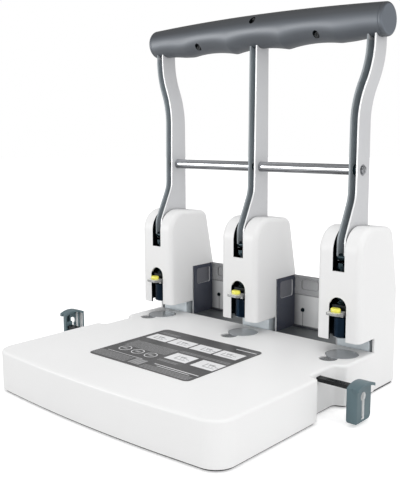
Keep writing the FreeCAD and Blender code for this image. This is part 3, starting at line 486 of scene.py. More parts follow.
def pale_floor(tree, shader, name):
    """Shows white to every seen ray and keeps the shadow of the object."""
    fill(tree, shader, {
        "Base Color": (0.80, 0.80, 0.80, 1),
        "Roughness": 0.9,
        "Specular IOR Level": 0.0,
        "Emission Color": (1, 1, 1, 1),
        "Emission Strength": calc(tree, "MULTIPLY", seen_rays(tree), FLOOR_GLOW),
    })


MAKERS = {
    **dict.fromkeys(FINISHES, grained),
    **dict.fromkeys(SMOKED, smoked),
    "polished_bar": drawn_bar_painted_reflections,
    "slate_grip": soft_grip_painted_light,
    "studio_floor": pale_floor,
}


def finish(name):
    """The material of that name, made when it is first asked for."""
    material = bpy.data.materials.get(name)
    if not material:
        material = bpy.data.materials.new(name)
        material.use_nodes = True
        tree = material.node_tree
        MAKERS[name](tree, tree.nodes["Principled BSDF"], name)
    return material


# Making pieces


def placed(name, data):
    """A new object in the scene, at the origin."""
    made = bpy.data.objects.new(name, data)
    bpy.context.scene.collection.objects.link(made)
    return made


def piece_from(mesh, name, body, finish_name, replaced=(), extra=()):
    """Hangs a finished mesh on its body; extra finishes go to the faces that pass their test."""
    mesh.materials.clear()
    mesh.materials.append(finish(finish_name))
    for index, (other, test) in enumerate(extra, 1):
        mesh.materials.append(finish(other))
        for face in mesh.polygons:
            if test(face.center, face.normal):
                face.material_index = index
    made = placed(name, mesh)
    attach(made, body)
    if replaced:
        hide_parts(*replaced)
    return made


def paint(node, finish_name):
    data = NODES[node].data
    data.materials.clear()
    data.materials.append(finish(finish_name))


def smooth_by_angle(mesh, degrees):
    mesh.polygons.foreach_set("use_smooth", [True] * len(mesh.polygons))
    mesh.set_sharp_from_angle(angle=math.radians(degrees))


def shade_flat_faces_flat(mesh, degrees):
    """Lets the large faces around a corner set its normal, so rounded edges don't tint walls."""
    limit = math.cos(math.radians(degrees))
    faces = [(face.normal.copy(), face.area, tuple(face.vertices)) for face in mesh.polygons]
    around = [[] for _ in mesh.vertices]
    for way, area, verts in faces:
        for vert in verts:
            around[vert].append((way, area))
    normals = []
    for own, _, verts in faces:
        for vert in verts:
            near = (way * area for way, area in around[vert] if own.dot(way) > limit)
            total = sum(near, Vector())
            normals.append(total.normalized() if total.length > 0 else own)
    mesh.normals_split_custom_set(normals)


def mesh_from(work, name):
    mesh = bpy.data.meshes.new(name)
    work.to_mesh(mesh)
    work.free()
    return mesh


def merged_copy(node):
    """The CAD node's loose triangles, joined up, with each flat face made whole again."""
    work = bmesh.new()
    work.from_mesh(NODES[node].data)
    bmesh.ops.remove_doubles(work, verts=work.verts, dist=4 * MICRON)
    bmesh.ops.dissolve_limit(work, angle_limit=math.radians(FLAT_ANGLE), verts=work.verts,
                             edges=work.edges, delimit={"NORMAL"})
    return work


def solid_of(node):
    """A CAD node as a solid that rays can be sent at."""
    work = merged_copy(node)
    solid = BVHTree.FromBMesh(work)
    work.free()
    return solid


def cut_at(work, axis, place):
    parts = list(work.verts) + list(work.edges) + list(work.faces)
    way = Vector([float(i == axis) for i in range(3)])
    bmesh.ops.bisect_plane(work, geom=parts, plane_co=way * place, plane_no=way)


def edges_over(work, degrees):
    angle = math.radians(degrees)
    return [e for e in work.edges if len(e.link_faces) == 2 and e.calc_face_angle(0.0) > angle]


def rounded(work, edges, radius, segments):
    bmesh.ops.bevel(work, geom=edges, offset=radius, offset_type="OFFSET", segments=segments,
                    profile=0.5, affect="EDGES", clamp_overlap=True)


def softened(node, name, finish_name, extra=(), cuts=(), edge=None):
    """A copy of a CAD node with rounded edges, cut along the lines where a finish changes."""
    work = merged_copy(node)
    edges = edges_over(work, SHARP_ANGLE)
    radius = sizes().small_edge if edge is None else edge
    if radius > 0 and edges:
        rounded(work, edges, radius, 2)
    for axis, place in cuts:
        cut_at(work, axis, place)
    bmesh.ops.recalc_face_normals(work, faces=work.faces)
    mesh = mesh_from(work, name)
    smooth_by_angle(mesh, SMOOTH_ANGLE)
    shade_flat_faces_flat(mesh, SMOOTH_ANGLE)
    return piece_from(mesh, name, body_of_node(node), finish_name, (node,), extra)


def islands(node):
    """Lowest and highest corner of each loose solid in a CAD node."""
    work = merged_copy(node)
    left = set(work.verts)
    found = []
    while left:
        group = set()
        reached = [left.pop()]
        while reached:
            vert = reached.pop()
            group.add(vert)
            reached += [v for link in vert.link_edges for v in link.verts if v not in group]
        left -= group
        spots = [v.co for v in group]
        found.append(tuple(Vector([pick(c[i] for c in spots) for i in range(3)])
                           for pick in (min, max)))
    work.free()
    return sorted(found, key=lambda pair: tuple(pair[0]))


def print_mesh(name, outlines, z, thickness):
    """One mesh of thin blocks that stand on one height."""
    work = bmesh.new()
    for spots in outlines:
        work.faces.new([work.verts.new((x, y, z)) for x, y in spots])
    faces = bmesh.ops.extrude_face_region(work, geom=list(work.faces))
    lifted = [v for v in faces["geom"] if isinstance(v, bmesh.types.BMVert)]
    bmesh.ops.translate(work, verts=lifted, vec=(0, 0, thickness))
    bmesh.ops.recalc_face_normals(work, faces=work.faces)
    return mesh_from(work, name)


def rectangle(x0, x1, y0, y1):
    return [(x0, y0), (x1, y0), (x1, y1), (x0, y1)]


def ring_parts(x, y, outer, inner, count=40):
    def spot(radius, step):
        turn = math.tau * step / count
        return x + radius * math.cos(turn), y + radius * math.sin(turn)

    return [[spot(outer, step), spot(outer, step + 1), spot(inner, step + 1), spot(inner, step)]
            for step in range(count)]


# Geometry node trees


INPUT_KINDS = {float: "Float", int: "Int", tuple: "Vector"}


def new_tree(name, inputs):
    """A new tree with these named inputs, and the outputs that give their values."""
    tree = bpy.data.node_groups.new(name, "GeometryNodeTree")
    tree.interface.new_socket("Geometry", in_out="INPUT", socket_type="NodeSocketGeometry")
    for label, default in inputs.items():
        kind = "Rotation" if label == "Turn" else INPUT_KINDS[type(default)]
        socket = tree.interface.new_socket(label, in_out="INPUT", socket_type="NodeSocket" + kind)
        socket.default_value = default
    tree.interface.new_socket("Geometry", in_out="OUTPUT", socket_type="NodeSocketGeometry")
    return tree, tree.nodes.new("NodeGroupInput").outputs


def finish_tree(tree, geometry, finish_name):
    real = result(tree, "GeometryNodeRealizeInstances", {"Geometry": geometry})
    painted = result(tree, "GeometryNodeSetMaterial", {
        "Geometry": real, "Material": finish(finish_name),
    })
    put(tree, tree.nodes.new("NodeGroupOutput").inputs["Geometry"], painted)
    return tree


def evaluated_mesh(tree, name, values, source=None):
    """Runs a node tree on a small holder object and keeps the result as a plain mesh."""
    holder = placed(name + "_holder", source or bpy.data.meshes.new(name + "_source"))
    modifier = holder.modifiers.new("maker", "NODES")
    modifier.node_group = tree
    for item in tree.interface.items_tree:
        if item.in_out == "INPUT" and item.name in values:
            modifier[item.identifier] = values[item.name]
    graph = bpy.context.evaluated_depsgraph_get()
    mesh = bpy.data.meshes.new_from_object(holder.evaluated_get(graph))
    mesh.name = name
    bpy.data.objects.remove(holder)
    return mesh


def spring_tree(finish_name):
    tree, given = new_tree("coil_spring", {
        "Height": 0.03,
        "Radius": 0.005,
        "Wire": 0.0012,
        "Turns": 8.0,
        "Place": (0.0, 0.0, 0.0),
    })
    spiral = result(tree, "GeometryNodeCurveSpiral", {
        "Resolution": 28,
        "Rotations": given["Turns"],
        "Start Radius": given["Radius"],
        "End Radius": given["Radius"],
        "Height": given["Height"],
    })
    profile = result(tree, "GeometryNodeCurvePrimitiveCircle", {
        "Resolution": 12,
        "Radius": calc(tree, "MULTIPLY", given["Wire"], 0.5),
    })
    tube = result(tree, "GeometryNodeCurveToMesh", {
        "Curve": spiral,
        "Profile Curve": profile,
        "Fill Caps": True,
    })
    moved = result(tree, "GeometryNodeTransform", {
        "Geometry": tube,
        "Translation": given["Place"],
    })
    smooth = result(tree, "GeometryNodeSetShadeSmooth", {"Geometry": moved})
    return finish_tree(tree, smooth, finish_name)


def barrel_tree(finish_name):
    """Half of a barrel grip about a level axis, with finger waves that fade up its face."""
    tree, given = new_tree("waved_barrel", {
        "Length": 0.2576,
        "Reach": 0.1323,
        "Middle radius": 0.0172,
        "End radius": 0.0137,
        "Wave pitch": 0.060,
        "Wave middle": 0.0035,
        "Wave rise": 0.0034,
        "Wave radius": 0.156,
        "Front": 1.0,
        "Axis": (0.0, 0.0, 0.0),
    })
    do = partial(calc, tree)
    grid = result(tree, "GeometryNodeMeshGrid", {
        "Size X": given["Length"],
        "Size Y": math.pi,
        "Vertices X": 241,
        "Vertices Y": 61,
    })
    x, across, _ = spot_parts(tree, result(tree, "GeometryNodeInputPosition", {}))
    turn = do("ADD", across, math.pi / 2)
    share = do("DIVIDE", x, given["Reach"])
    bulge = do("SUBTRACT", given["Middle radius"], given["End radius"])
    drop = do("MULTIPLY", bulge, do("MULTIPLY", share, share))
    radius = do("SUBTRACT", given["Middle radius"], drop)
    away = do("PINGPONG", do("SUBTRACT", x, given["Wave middle"]),
              do("MULTIPLY", given["Wave pitch"], 0.5))
    arch = do("DIVIDE", do("MULTIPLY", away, away), do("MULTIPLY", given["Wave radius"], 2.0))
    floor = do("ADD", do("SUBTRACT", given["Middle radius"], given["Wave rise"]), arch)
    depth = do("SMOOTH_MAX", do("SUBTRACT", radius, floor), 0.0, WAVE_BLEND)
    upright = do("COSINE", turn)
    fade = result(tree, "ShaderNodeMapRange", {
        "Value": upright, "From Min": FADE_START, "From Max": FADE_END,
    }, interpolation_type="SMOOTHSTEP")
    radius = do("SUBTRACT", radius, do("MULTIPLY", depth, fade))
    _, axis_y, axis_z = spot_parts(tree, given["Axis"])
    side = do("MULTIPLY", do("MULTIPLY", radius, do("SINE", turn)), given["Front"])
    y = do("SUBTRACT", axis_y, side)
    z = do("SUBTRACT", axis_z, do("MULTIPLY", radius, upright))
    spot = result(tree, "ShaderNodeCombineXYZ", {"X": x, "Y": y, "Z": z})
    wrapped = result(tree, "GeometryNodeSetPosition", {"Geometry": grid, "Position": spot})
    return finish_tree(tree, wrapped, finish_name)


def screw_tree(finish_name):
    """Screws with a domed head and a cross recess, set on the source's points, heads to +Z."""
    tree, given = new_tree("cross_screws", {
        "Head radius": 0.002,
        "Head height": 0.001,
        "Shank radius": 0.0013,
        "Shank length": 0.004,
        "Turn": (0.0, 0.0, 0.0),
    })
    times = partial(calc, tree, "MULTIPLY")

    def lifted(geometry, rise):
        way = result(tree, "ShaderNodeCombineXYZ", {"Z": rise})
        return result(tree, "GeometryNodeTransform", {"Geometry": geometry, "Translation": way})

    head = result(tree, "GeometryNodeMeshCone", {
        "Vertices": 32,
        "Radius Bottom": given["Head radius"],
        "Radius Top": times(given["Head radius"], HEAD_TOP_SHARE),
        "Depth": given["Head height"],
    })
    bars = []
    for wide, deep in (CROSS_SHARES, CROSS_SHARES[::-1]):
        size = result(tree, "ShaderNodeCombineXYZ", {
            "X": times(given["Head radius"], wide),
            "Y": times(given["Head radius"], deep),
            "Z": given["Head height"],
        })
        bar = result(tree, "GeometryNodeMeshCube", {"Size": size})
        bars.append(lifted(bar, times(given["Head height"], CROSS_LIFT_SHARE)))
    recessed = result(tree, "GeometryNodeMeshBoolean", {"Mesh 1": head, "Mesh 2": bars},
                      operation="DIFFERENCE")
    shank = result(tree, "GeometryNodeMeshCylinder", {
        "Vertices": 20,
        "Radius": given["Shank radius"],
        "Depth": given["Shank length"],
    })
    shank = lifted(shank, times(given["Shank length"], -0.5))
    both = result(tree, "GeometryNodeJoinGeometry", {"Geometry": [recessed, shank]})
    spread = result(tree, "GeometryNodeInstanceOnPoints", {
        "Points": given["Geometry"],
        "Instance": both,
        "Rotation": given["Turn"],
    })
    return finish_tree(tree, spread, finish_name)


def screws(finish_name, node, name, axis):
    """A cross screw for each solid of a node, with its head at the low end of the axis."""
    boxes = islands(node)
    low, high = boxes[0]
    other = (axis + 1) % 3
    head_radius = (high[other] - low[other]) / 2
    long = high[axis] - low[axis]
    head = min(head_radius * HEAD_HEIGHT_SHARE, long * HEAD_LENGTH_SHARE)
    spots = []
    for low, high in boxes:
        spot = (low + high) / 2
        spot[axis] = low[axis] + head / 2
        spots.append(spot)
    points = bpy.data.meshes.new(name + "_points")
    points.from_pydata(spots, [], [])
    mesh = evaluated_mesh(screw_tree(finish_name), name, {
        "Head radius": head_radius,
        "Head height": head,
        "Shank radius": head_radius * SHANK_SHARE,
        "Shank length": long - head / 2,
        "Turn": {1: (math.pi / 2, 0, 0), 2: (math.pi, 0, 0)}[axis],
    }, points)
    smooth_by_angle(mesh, SCREW_SMOOTH_ANGLE)
    return piece_from(mesh, name, body_of_node(node), finish_name, (node,))


def row_tree(finish_name):
    """Bars of one size, set side by side along Y."""
    tree, given = new_tree("printed_rows", {
        "Count": 4,
        "Start": (0.0, 0.0, 0.0),
        "Step": (0.0, 0.002, 0.0),
        "Bar": (0.02, 0.001, 0.0001),
    })
    line = result(tree, "GeometryNodeMeshLine", {
        "Count": given["Count"],
        "Start Location": given["Start"],
        "Offset": given["Step"],
    })
    bar = result(tree, "GeometryNodeMeshCube", {"Size": given["Bar"]})
    spread = result(tree, "GeometryNodeInstanceOnPoints", {"Points": line, "Instance": bar})
    return finish_tree(tree, spread, finish_name)


# Tests that pick the faces of a second finish


def above(level):
    return lambda spot, normal: spot.z > level


def below(level):
    return lambda spot, normal: spot.z < level


def inside_head(head, level):
    low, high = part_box("head_cover_" + head)
    middle = Vector(((low.x + high.x) / 2, (low.y + high.y) / 2, HEAD_HOLLOW_Z))

    def test(spot, normal):
        return spot.z > level and normal.dot(middle - spot) > 0

    return test


def facing_sideways(spot, normal):
    return abs(normal.x) > MOSTLY


def plate_rim(spot, normal):
    return abs(normal.z) < HALFWAY


def sheet_edges(spot, normal):
    return normal.y < FORWARD and spot.y < FRONT_OF_ARMS


def channel_walls(node):
    """Faces inside the channel of an arm: another wall stands close in front of them."""
    solid = solid_of(node)

    def test(spot, normal):
        if sheet_edges(spot, normal):
            return False
        if normal.y < FORWARD:
            return True
        hit = solid.ray_cast(spot + normal * SKIN, normal, CHANNEL_WIDTH)
        return hit[0] is not None and abs(normal.z) < LEVEL

    return test


def right_flange(node):
    """Front edges of the right flange: the left flange stands beside it."""
    solid = solid_of(node)

    def test(spot, normal):
        if not sheet_edges(spot, normal):
            return False
        start = spot + Vector((-FLANGE_THICKNESS, FLANGE_DEPTH, 0))
        return solid.ray_cast(start, Vector((-1, 0, 0)), FLANGE_GAP)[0] is not None

    return test


# Operators, one for each piece or group of like pieces


class PUNCH_OT_table(bpy.types.Operator):
    """Dress the table, the base under it, the feet and the rear cover"""

    bl_idname = "punch.table"
    bl_label = "Table and base"

    def execute(self, context):
        edge = sizes().small_edge
        softened("table_cover", "table_moulding", "white_table")
        softened("rear_cover", "rear_moulding", "white_moulding")
        softened("base_plate", "base_sheet", "black_sheet")
        softened("rubber_feet", "rubber_pads", "black_rubber", edge=edge / 2)
        paint("guide_channels", "dark_steel")
        plate_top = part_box("cutting_disc_centre")[0].z + edge / 3
        softened("die_plate", "support_plate", "strip_metal",
                 [("notch_grey", above(plate_top))])
        paint("die_supports", "strip_metal")
        paint("frame_bolts", "turned_steel")
        softened("chip_tray", "pull_out_tray", "grey_tray")
        screws("turned_steel", "base_screws", "base_cross_screws", 2)
        return {"FINISHED"}


class PUNCH_OT_heads(bpy.types.Operator):
    """Dress the three head covers and the cast frames under them"""

    bl_idname = "punch.heads"
    bl_label = "Head covers and frames"

    def execute(self, context):
        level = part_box("head_cover_centre")[0].z + SKIN
        for head in HEADS:
            # The covers' inner faces and the frames above the covers' lower edge get near-black
            # painted shade.
            softened("head_cover_" + head, "head_moulding_" + head,
                     "white_moulding", [("black_inside", inside_head(head, level))], [(2, level)])
            softened("head_frame_" + head, "head_casting_" + head, "cast_metal",
                     [("black_inside", above(level))], [(2, level)], sizes().metal_edge)
        paint("pivot_pins", "dark_steel")
        return {"FINISHED"}


class PUNCH_OT_punches(bpy.types.Operator):
    """Dress the punch sleeves, pins and caps and wind the return springs"""

    bl_idname = "punch.punches"
    bl_label = "Punches and springs"

    def execute(self, context):
        coil = spring_tree("dark_steel")
        wire = sizes().spring_wire
        for head in HEADS:
            low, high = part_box("punch_sleeve_" + head)
            rim_top = low.z + (high.z - low.z) * SLEEVE_RIM_SHARE
            # The sleeve's lowest faces get a bright steel rim as a painted highlight.
            softened("punch_sleeve_" + head, "sleeve_turned_" + head,
                     "blued_steel", [("ground_rim", below(rim_top))], edge=0.0)
            paint("punch_pin_" + head, "dark_steel")
            softened("punch_cap_" + head, "cap_milled_" + head, "dark_steel")
            low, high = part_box("return_spring_" + head)
            place = (low + high) / 2
            mesh = evaluated_mesh(coil, "spring_wound_" + head, {
                "Height": high.z - low.z - wire,
                "Radius": sizes().spring_radius - wire / 2,
                "Wire": wire,
                "Turns": float(sizes().spring_turns),
                "Place": (place.x, place.y, low.z + wire / 2),
            })
            spring = piece_from(mesh, "spring_wound_" + head, body_of_node("return_spring_" + head),
                                "dark_steel", ("return_spring_" + head,))
            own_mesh(spring)
        return {"FINISHED"}


class PUNCH_OT_latches(bpy.types.Operator):
    """Dress the latch plates and their buttons"""

    bl_idname = "punch.latches"
    bl_label = "Latches"

    def execute(self, context):
        for head in HEADS:
            # The plate's side faces get painted shade.
            softened("latch_plate_" + head, "latch_pressing_" + head,
                     "latch_metal", [("latch_rim", plate_rim)])
            softened("latch_button_" + head, "latch_knob_" + head,
                     "yellow_button")
        return {"FINISHED"}


class PUNCH_OT_discs(bpy.types.Operator):
    """Dress the three cutting discs in the table"""

    bl_idname = "punch.discs"
    bl_label = "Cutting discs"

    def execute(self, context):
        for head in HEADS:
            softened("cutting_disc_" + head, "disc_moulded_" + head, "grey_disc",
                     edge=sizes().small_edge / 2)
        return {"FINISHED"}


class PUNCH_OT_levers(bpy.types.Operator):
    """Dress the lever arms, the cross bar and the drive bars"""

    bl_idname = "punch.levers"
    bl_label = "Levers and cross bar"

    def execute(self, context):
        for head in HEADS:
            node = "lever_arm_" + head
            # Channel faces get painted shade, the front edges painted shade and the right flange's
            # front edges a painted highlight.
            softened(node, "lever_pressing_" + head, "satin_arm", [
                ("arm_channel", channel_walls(node)),
                ("dull_edge", sheet_edges),
                ("bright_edge", right_flange(node)),
            ], edge=sizes().sheet_edge)
            softened("drive_bar_" + head, "drive_rod_" + head, "dark_steel",
                     edge=sizes().sheet_edge)
        places = [side * HOLE_SPACING for side in (-1, 0, 1)]

        # The bar's stretch inside each arm's channel gets dark painted shade.
        def in_channel_painted_shade(spot, normal):
            return min(abs(spot.x - x) for x in places) < CHANNEL_REACH

        softened("cross_bar", "cross_rod", "polished_bar",
                 [("dark_steel", in_channel_painted_shade)],
                 [(0, x + side * CHANNEL_REACH) for x in places for side in (-1, 1)], 0.0)
        softened("cross_bar_rivets", "rod_ends", "polished_bar", edge=0.0)
        return {"FINISHED"}


class PUNCH_OT_grip(bpy.types.Operator):
    """Form the two waved grip halves and dress the end caps, the core tube and the screws"""

    bl_idname = "punch.grip"
    bl_label = "Grip"

    def execute(self, context):
        tree = barrel_tree("slate_grip")
        wells = islands("grip_screws")
        for half, front in (("front", 1.0), ("rear", -1.0)):
            mesh = self.half_shape(tree, half, front)
            if front > 0:
                mesh = self.with_wells(mesh, wells)
            smooth_by_angle(mesh, GRIP_SMOOTH_ANGLE)
            # The walls and floors of the screw wells get near-black painted shade, as do the screws
            # in them.
            piece_from(mesh, "grip_moulding_" + half, body_of_node("grip_" + half),
                       "slate_grip", ("grip_" + half,),
                       [("black_inside", self.well_test(wells))])
        for side in SIDES:
            softened("grip_cap_" + side, "grip_end_" + side, "slate_grip")
        paint("grip_core", "turned_steel")
        screws("black_inside", "grip_screws", "grip_cross_screws", 1)
        return {"FINISHED"}

    def half_shape(self, tree, half, front):
        """The waved face of one half, closed along the split and at both ends."""
        given = sizes()
        low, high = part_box("grip_" + half)
        cap_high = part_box("grip_cap_right")[1]
        axis = (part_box("grip_core")[0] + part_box("grip_core")[1]) / 2
        mesh = evaluated_mesh(tree, "grip_moulding_" + half, {
            "Length": high.x - low.x,
            "Reach": cap_high.x,
            "Middle radius": given.grip_middle,
            "End radius": given.grip_end,
            "Wave pitch": given.wave_pitch,
            "Wave middle": given.wave_middle,
            "Wave rise": given.wave_rise,
            "Wave radius": given.wave_radius,
            "Front": front,
            "Axis": axis,
        })
        work = bmesh.new()
        work.from_mesh(mesh)
        split = sorted((v for v in work.verts if abs(v.co.y - axis.y) < SAME_PLACE),
                       key=lambda v: v.co.x)
        top = [v for v in split if v.co.z > axis.z]
        bottom = [v for v in split if v.co.z <= axis.z]
        for index in range(len(top) - 1):
            work.faces.new([top[index], top[index + 1], bottom[index + 1], bottom[index]])
        for end in (low.x, high.x):
            rim = [v for v in work.verts if abs(v.co.x - end) < SAME_PLACE]
            rim.sort(key=lambda v: math.atan2(abs(v.co.y - axis.y), axis.z - v.co.z))
            work.faces.new(rim)
        for vert in top + bottom:
            vert.co.z += math.copysign(given.sheet_edge / 2, axis.z - vert.co.z)
            vert.co.y -= front * given.print_lift
        bmesh.ops.recalc_face_normals(work, faces=work.faces)
        ends = [e for e in edges_over(work, GRIP_END_ANGLE)
                if all(abs(abs(v.co.x) - high.x) < SAME_PLACE for v in e.verts)]
        rounded(work, ends, given.grip_edge, 3)
        work.to_mesh(mesh)
        work.free()
        return mesh

    def with_wells(self, mesh, wells):
        """The half with a well bored for each screw."""
        work = bmesh.new()
        radius = sizes().well_radius
        for low, high in wells:
            middle = (low + high) / 2
            front, floor = low.y - WELL_REACH, low.y + WELL_FLOOR
            made = bmesh.ops.create_cone(work, cap_ends=True, segments=48, radius1=radius,
                                         radius2=radius, depth=floor - front)
            turn = Matrix.Translation((middle.x, (floor + front) / 2, middle.z))
            bmesh.ops.transform(work, matrix=turn @ Matrix.Rotation(math.pi / 2, 4, "X"),
                                verts=made["verts"])
        cutter = placed("well_cutters", mesh_from(work, "well_cutters"))
        body = placed("grip_body", mesh)
        cut = body.modifiers.new("wells", "BOOLEAN")
        cut.operation = "DIFFERENCE"
        cut.solver = "EXACT"
        cut.object = cutter
        graph = bpy.context.evaluated_depsgraph_get()
        carved = bpy.data.meshes.new_from_object(body.evaluated_get(graph))
        for made in (body, cutter):
            bpy.data.objects.remove(made)
        return carved

    def well_test(self, wells):
        reach = sizes().well_radius + SKIN / 2
        middles = [(low + high) / 2 for low, high in wells]

        def test(spot, normal):
            for middle in middles:
                across = Vector((spot.x - middle.x, 0, spot.z - middle.z))
                wall_or_floor = across.dot(normal) < 0 or across.length < reach * WELL_FLOOR_SHARE
                if across.length < reach and wall_or_floor:
                    return True
            return False

        return test


class PUNCH_OT_guards(bpy.types.Operator):
    """Dress the two smoked guards and their screws"""

    bl_idname = "punch.guards"
    bl_label = "Smoked guards"

    def execute(self, context):
        for side in SIDES:
            softened("guard_" + side, "guard_moulding_" + side, "smoked_back",
                     self.zones(*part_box("guard_" + side)), edge=sizes().guard_edge)
        screws("dark_steel", "guard_screws", "guard_cross_screws", 1)
        return {"FINISHED"}

    def zones(self, low, high):
        """Painted shade and light: walls beside the heads darkest, the wall below the shelf line
        lightest.
        """
        shelf = low.z + (high.z - low.z) * SHELF_SHARE
        foot = low.z + GUARD_FOOT
        rim = high.z - GUARD_RIM
        wall = high.y - GUARD_WALL

        def from_side(spot):
            return min(spot.x - low.x, high.x - spot.x)

        def is_rim(spot, normal):
            top = normal.z > HALFWAY or spot.z > high.z - GUARD_TOP
            return spot.z > rim and spot.y > wall - GUARD_LEDGE and top

        def is_foot(spot, normal):
            return spot.z < foot and abs(normal.x) < MOSTLY

        def is_top(spot, normal):
            return normal.z > HALFWAY and spot.z > rim

        def is_pocket(spot, normal):
            return abs(normal.x) > MOSTLY and POCKET_WALL[0] < from_side(spot) < POCKET_WALL[1]

        def is_pocket_edge(spot, normal):
            inside = spot.z < rim and spot.y < wall and abs(normal.x) < MOSTLY
            return inside and POCKET_EDGE[0] < from_side(spot) < POCKET_EDGE[1]

        def is_groove(spot, normal):
            inside = wall + SKIN < spot.y < high.y - sizes().guard_edge
            between = foot < spot.z < rim and from_side(spot) > GROOVE_SIDE
            return inside and between and abs(normal.y) < MOSTLY

        def is_low(spot, normal):
            back = spot.y > wall - SKIN and abs(normal.y) > MOSTLY
            return back and foot < spot.z < shelf

        # Painted shade beside the heads, at the foot, in pockets, grooves and on top faces; painted
        # highlights on rims and pocket edges.
        return [
            ("smoked_side", facing_sideways),
            ("smoked_low", is_low),
            ("smoked_foot", is_foot),
            ("dark_groove", is_groove),
            ("dark_groove", is_top),
            ("smoked_rim", is_rim),
            ("smoked_rim", is_pocket_edge),
            ("smoked_pocket", is_pocket),
        ]


class PUNCH_OT_guides(bpy.types.Operator):
    """Dress the paper guides and the rails that carry them"""

    bl_idname = "punch.guides"
    bl_label = "Paper guides"

    def execute(self, context):
        for side in SIDES:
            low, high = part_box("guide_plate_" + side)
            rail_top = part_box("guide_rail_" + side)[1].z - sizes().small_edge
            softened("guide_plate_" + side, "guide_moulding_" + side, "blue_guide",
                     [("bright_edge_of_key", self.key_faces(low, high))],
                     edge=sizes().small_edge * 2)

            def channel_floor(spot, normal):
                return normal.z > FLAT and spot.z < rail_top

            # The rail's upward groove floor gets a painted highlight.
            softened("guide_rail_" + side, "guide_bar_" + side, "black_rail",
                     [("rail_line", channel_floor)], edge=sizes().small_edge / 2)
        return {"FINISHED"}

    def key_faces(self, low, high):
        """Faces of the keyhole and of the room behind it, painted pale as painted light seen
        through the hole.
        """
        def test(spot, normal):
            inside = low.x - SKIN < spot.x < high.x - sizes().small_edge * 2
            place = spot.y - low.y - KEY_PLACE
            near = KEY_ALONG[0] < place < KEY_ALONG[1] and KEY_UP[0] < spot.z < KEY_UP[1]
            return inside and near and abs(normal.x) < HALFWAY

        return test


# Corners and middles of the plain print, in millimetres
PANEL_STEP = 27.2
PANELS = [(-53.3 + PANEL_STEP * step, -28.3 + PANEL_STEP * step, -10.6, 5.0) for step in range(4)]
PANELS += [(2.8, 27.2, -44.0, -26.6), (32.8, 57.2, -44.6, -26.8)]
RING_MIDDLES = (-42.4, -26.6, -10.6)
RING_Y = -46.2
RING_OUTER = 6.0
RING_INNER = 5.3

# Half the width and the two ends of the block in each ring
RING_BLOCK = 2.6
RING_BLOCK_ENDS = (-47.6, -44.8)

# The bars of the hatched square: left edge of the first, step, width and their two ends
HATCH_LEFT = -12.6
HATCH_STEP = 3.4
HATCH_WIDTH = 2.6
HATCH_ENDS = (-71.6, -59.6)

# Left, right, middle and width of each pale stripe
STRIPES = ((8.5, 57.0, -60.4, 1.0), (14.0, 50.0, -63.6, 0.7), (-51.5, -8.0, -58.4, 0.5),
           (34.5, 56.5, 14.6, 1.1))

# Blocks on each panel, as shares of its width and depth, and their shift to the next panel
BLOCK_SHIFT_SHARE = 0.08
BLOCKS = ((0.22, 0.74, 0.24, 0.29), (0.22, 0.26, 0.29, 0.72), (0.34, 0.60, 0.58, 0.68),
          (0.40, 0.44, 0.40, 0.58), (0.54, 0.58, 0.40, 0.58), (0.66, 0.80, 0.44, 0.50))

# Name, number, left, right, lowest place and step of the fine lines in each block of rows
ROWS = (
    ("title", 2, -54.0, -30.0, 9.6, 2.4),
    ("upper", 8, -52.0, -1.0, -38.0, 2.2),
    ("under", 2, 2.0, 56.0, -22.6, 2.4),
    ("lower", 6, -57.0, -15.5, -72.0, 2.1),
    ("middle", 2, 2.0, 24.0, -51.0, 2.2),
    ("right", 4, 3.0, 56.0, -73.0, 2.1),
)


class PUNCH_OT_label(bpy.types.Operator):
    """Lay out the plain printed panels, rings and lines on the plate"""

    bl_idname = "punch.label"
    bl_label = "Printed plate"

    def execute(self, context):
        softened("instruction_plate", "plate_sheet", "printed_plate", edge=SKIN)
        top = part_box("instruction_plate")[1].z
        lift = sizes().print_lift
        mesh = print_mesh("pale_panels", self.pale_shapes(), top, lift)
        piece_from(mesh, "pale_panels", "base", "pale_print")
        mesh = print_mesh("grey_marks", self.grey_shapes(), top, lift * 2)
        piece_from(mesh, "grey_marks", "base", "grey_print")
        rows = row_tree("grey_print")
        for name, count, x0, x1, y, step in ROWS:
            mesh = evaluated_mesh(rows, "fine_lines_" + name, {
                "Count": count,
                "Start": ((x0 + x1) / 2 * MM, y * MM, top + lift / 2),
                "Step": (0.0, step * MM, 0.0),
                "Bar": ((x1 - x0) * MM, sizes().line_width, lift),
            })
            piece_from(mesh, "fine_lines_" + name, "base", "grey_print")
        return {"FINISHED"}

    def pale_shapes(self):
        pale = [rectangle(*(v * MM for v in panel)) for panel in PANELS]
        for x in RING_MIDDLES:
            pale += ring_parts(x * MM, RING_Y * MM, RING_OUTER * MM, RING_INNER * MM)
        for x0, x1, y, wide in STRIPES:
            pale.append(rectangle(x0 * MM, x1 * MM, (y - wide / 2) * MM, (y + wide / 2) * MM))
        return pale

    def grey_shapes(self):
        """Plain blocks on the panels and in the rings, and one hatched square."""
        grey = []
        for step in range(4):
            x = HATCH_LEFT + HATCH_STEP * step
            grey.append((x, x + HATCH_WIDTH, *HATCH_ENDS))
        for x in RING_MIDDLES:
            grey.append((x - RING_BLOCK, x + RING_BLOCK, *RING_BLOCK_ENDS))
        for index, (x0, x1, y0, y1) in enumerate(PANELS):
            wide, deep = x1 - x0, y1 - y0
            shift = BLOCK_SHIFT_SHARE * (index % 3)
            for a, b, c, d in BLOCKS:
                grey.append((x0 + wide * (a + shift), x0 + wide * (b + shift),
                             y0 + deep * c, y0 + deep * d))
        return [rectangle(*(v * MM for v in spots)) for spots in grey]


# Studio


def lamp(name, place, target, size, power):
    data = bpy.data.lights.new(name, "AREA")
    data.shape = "RECTANGLE"
    data.size, data.size_y = size
    data.energy = power
    made = placed(name, data)
    made.location = place
    made.rotation_mode = "QUATERNION"
    made.rotation_quaternion = (Vector(target) - Vector(place)).to_track_quat("-Z", "Y")
    return made


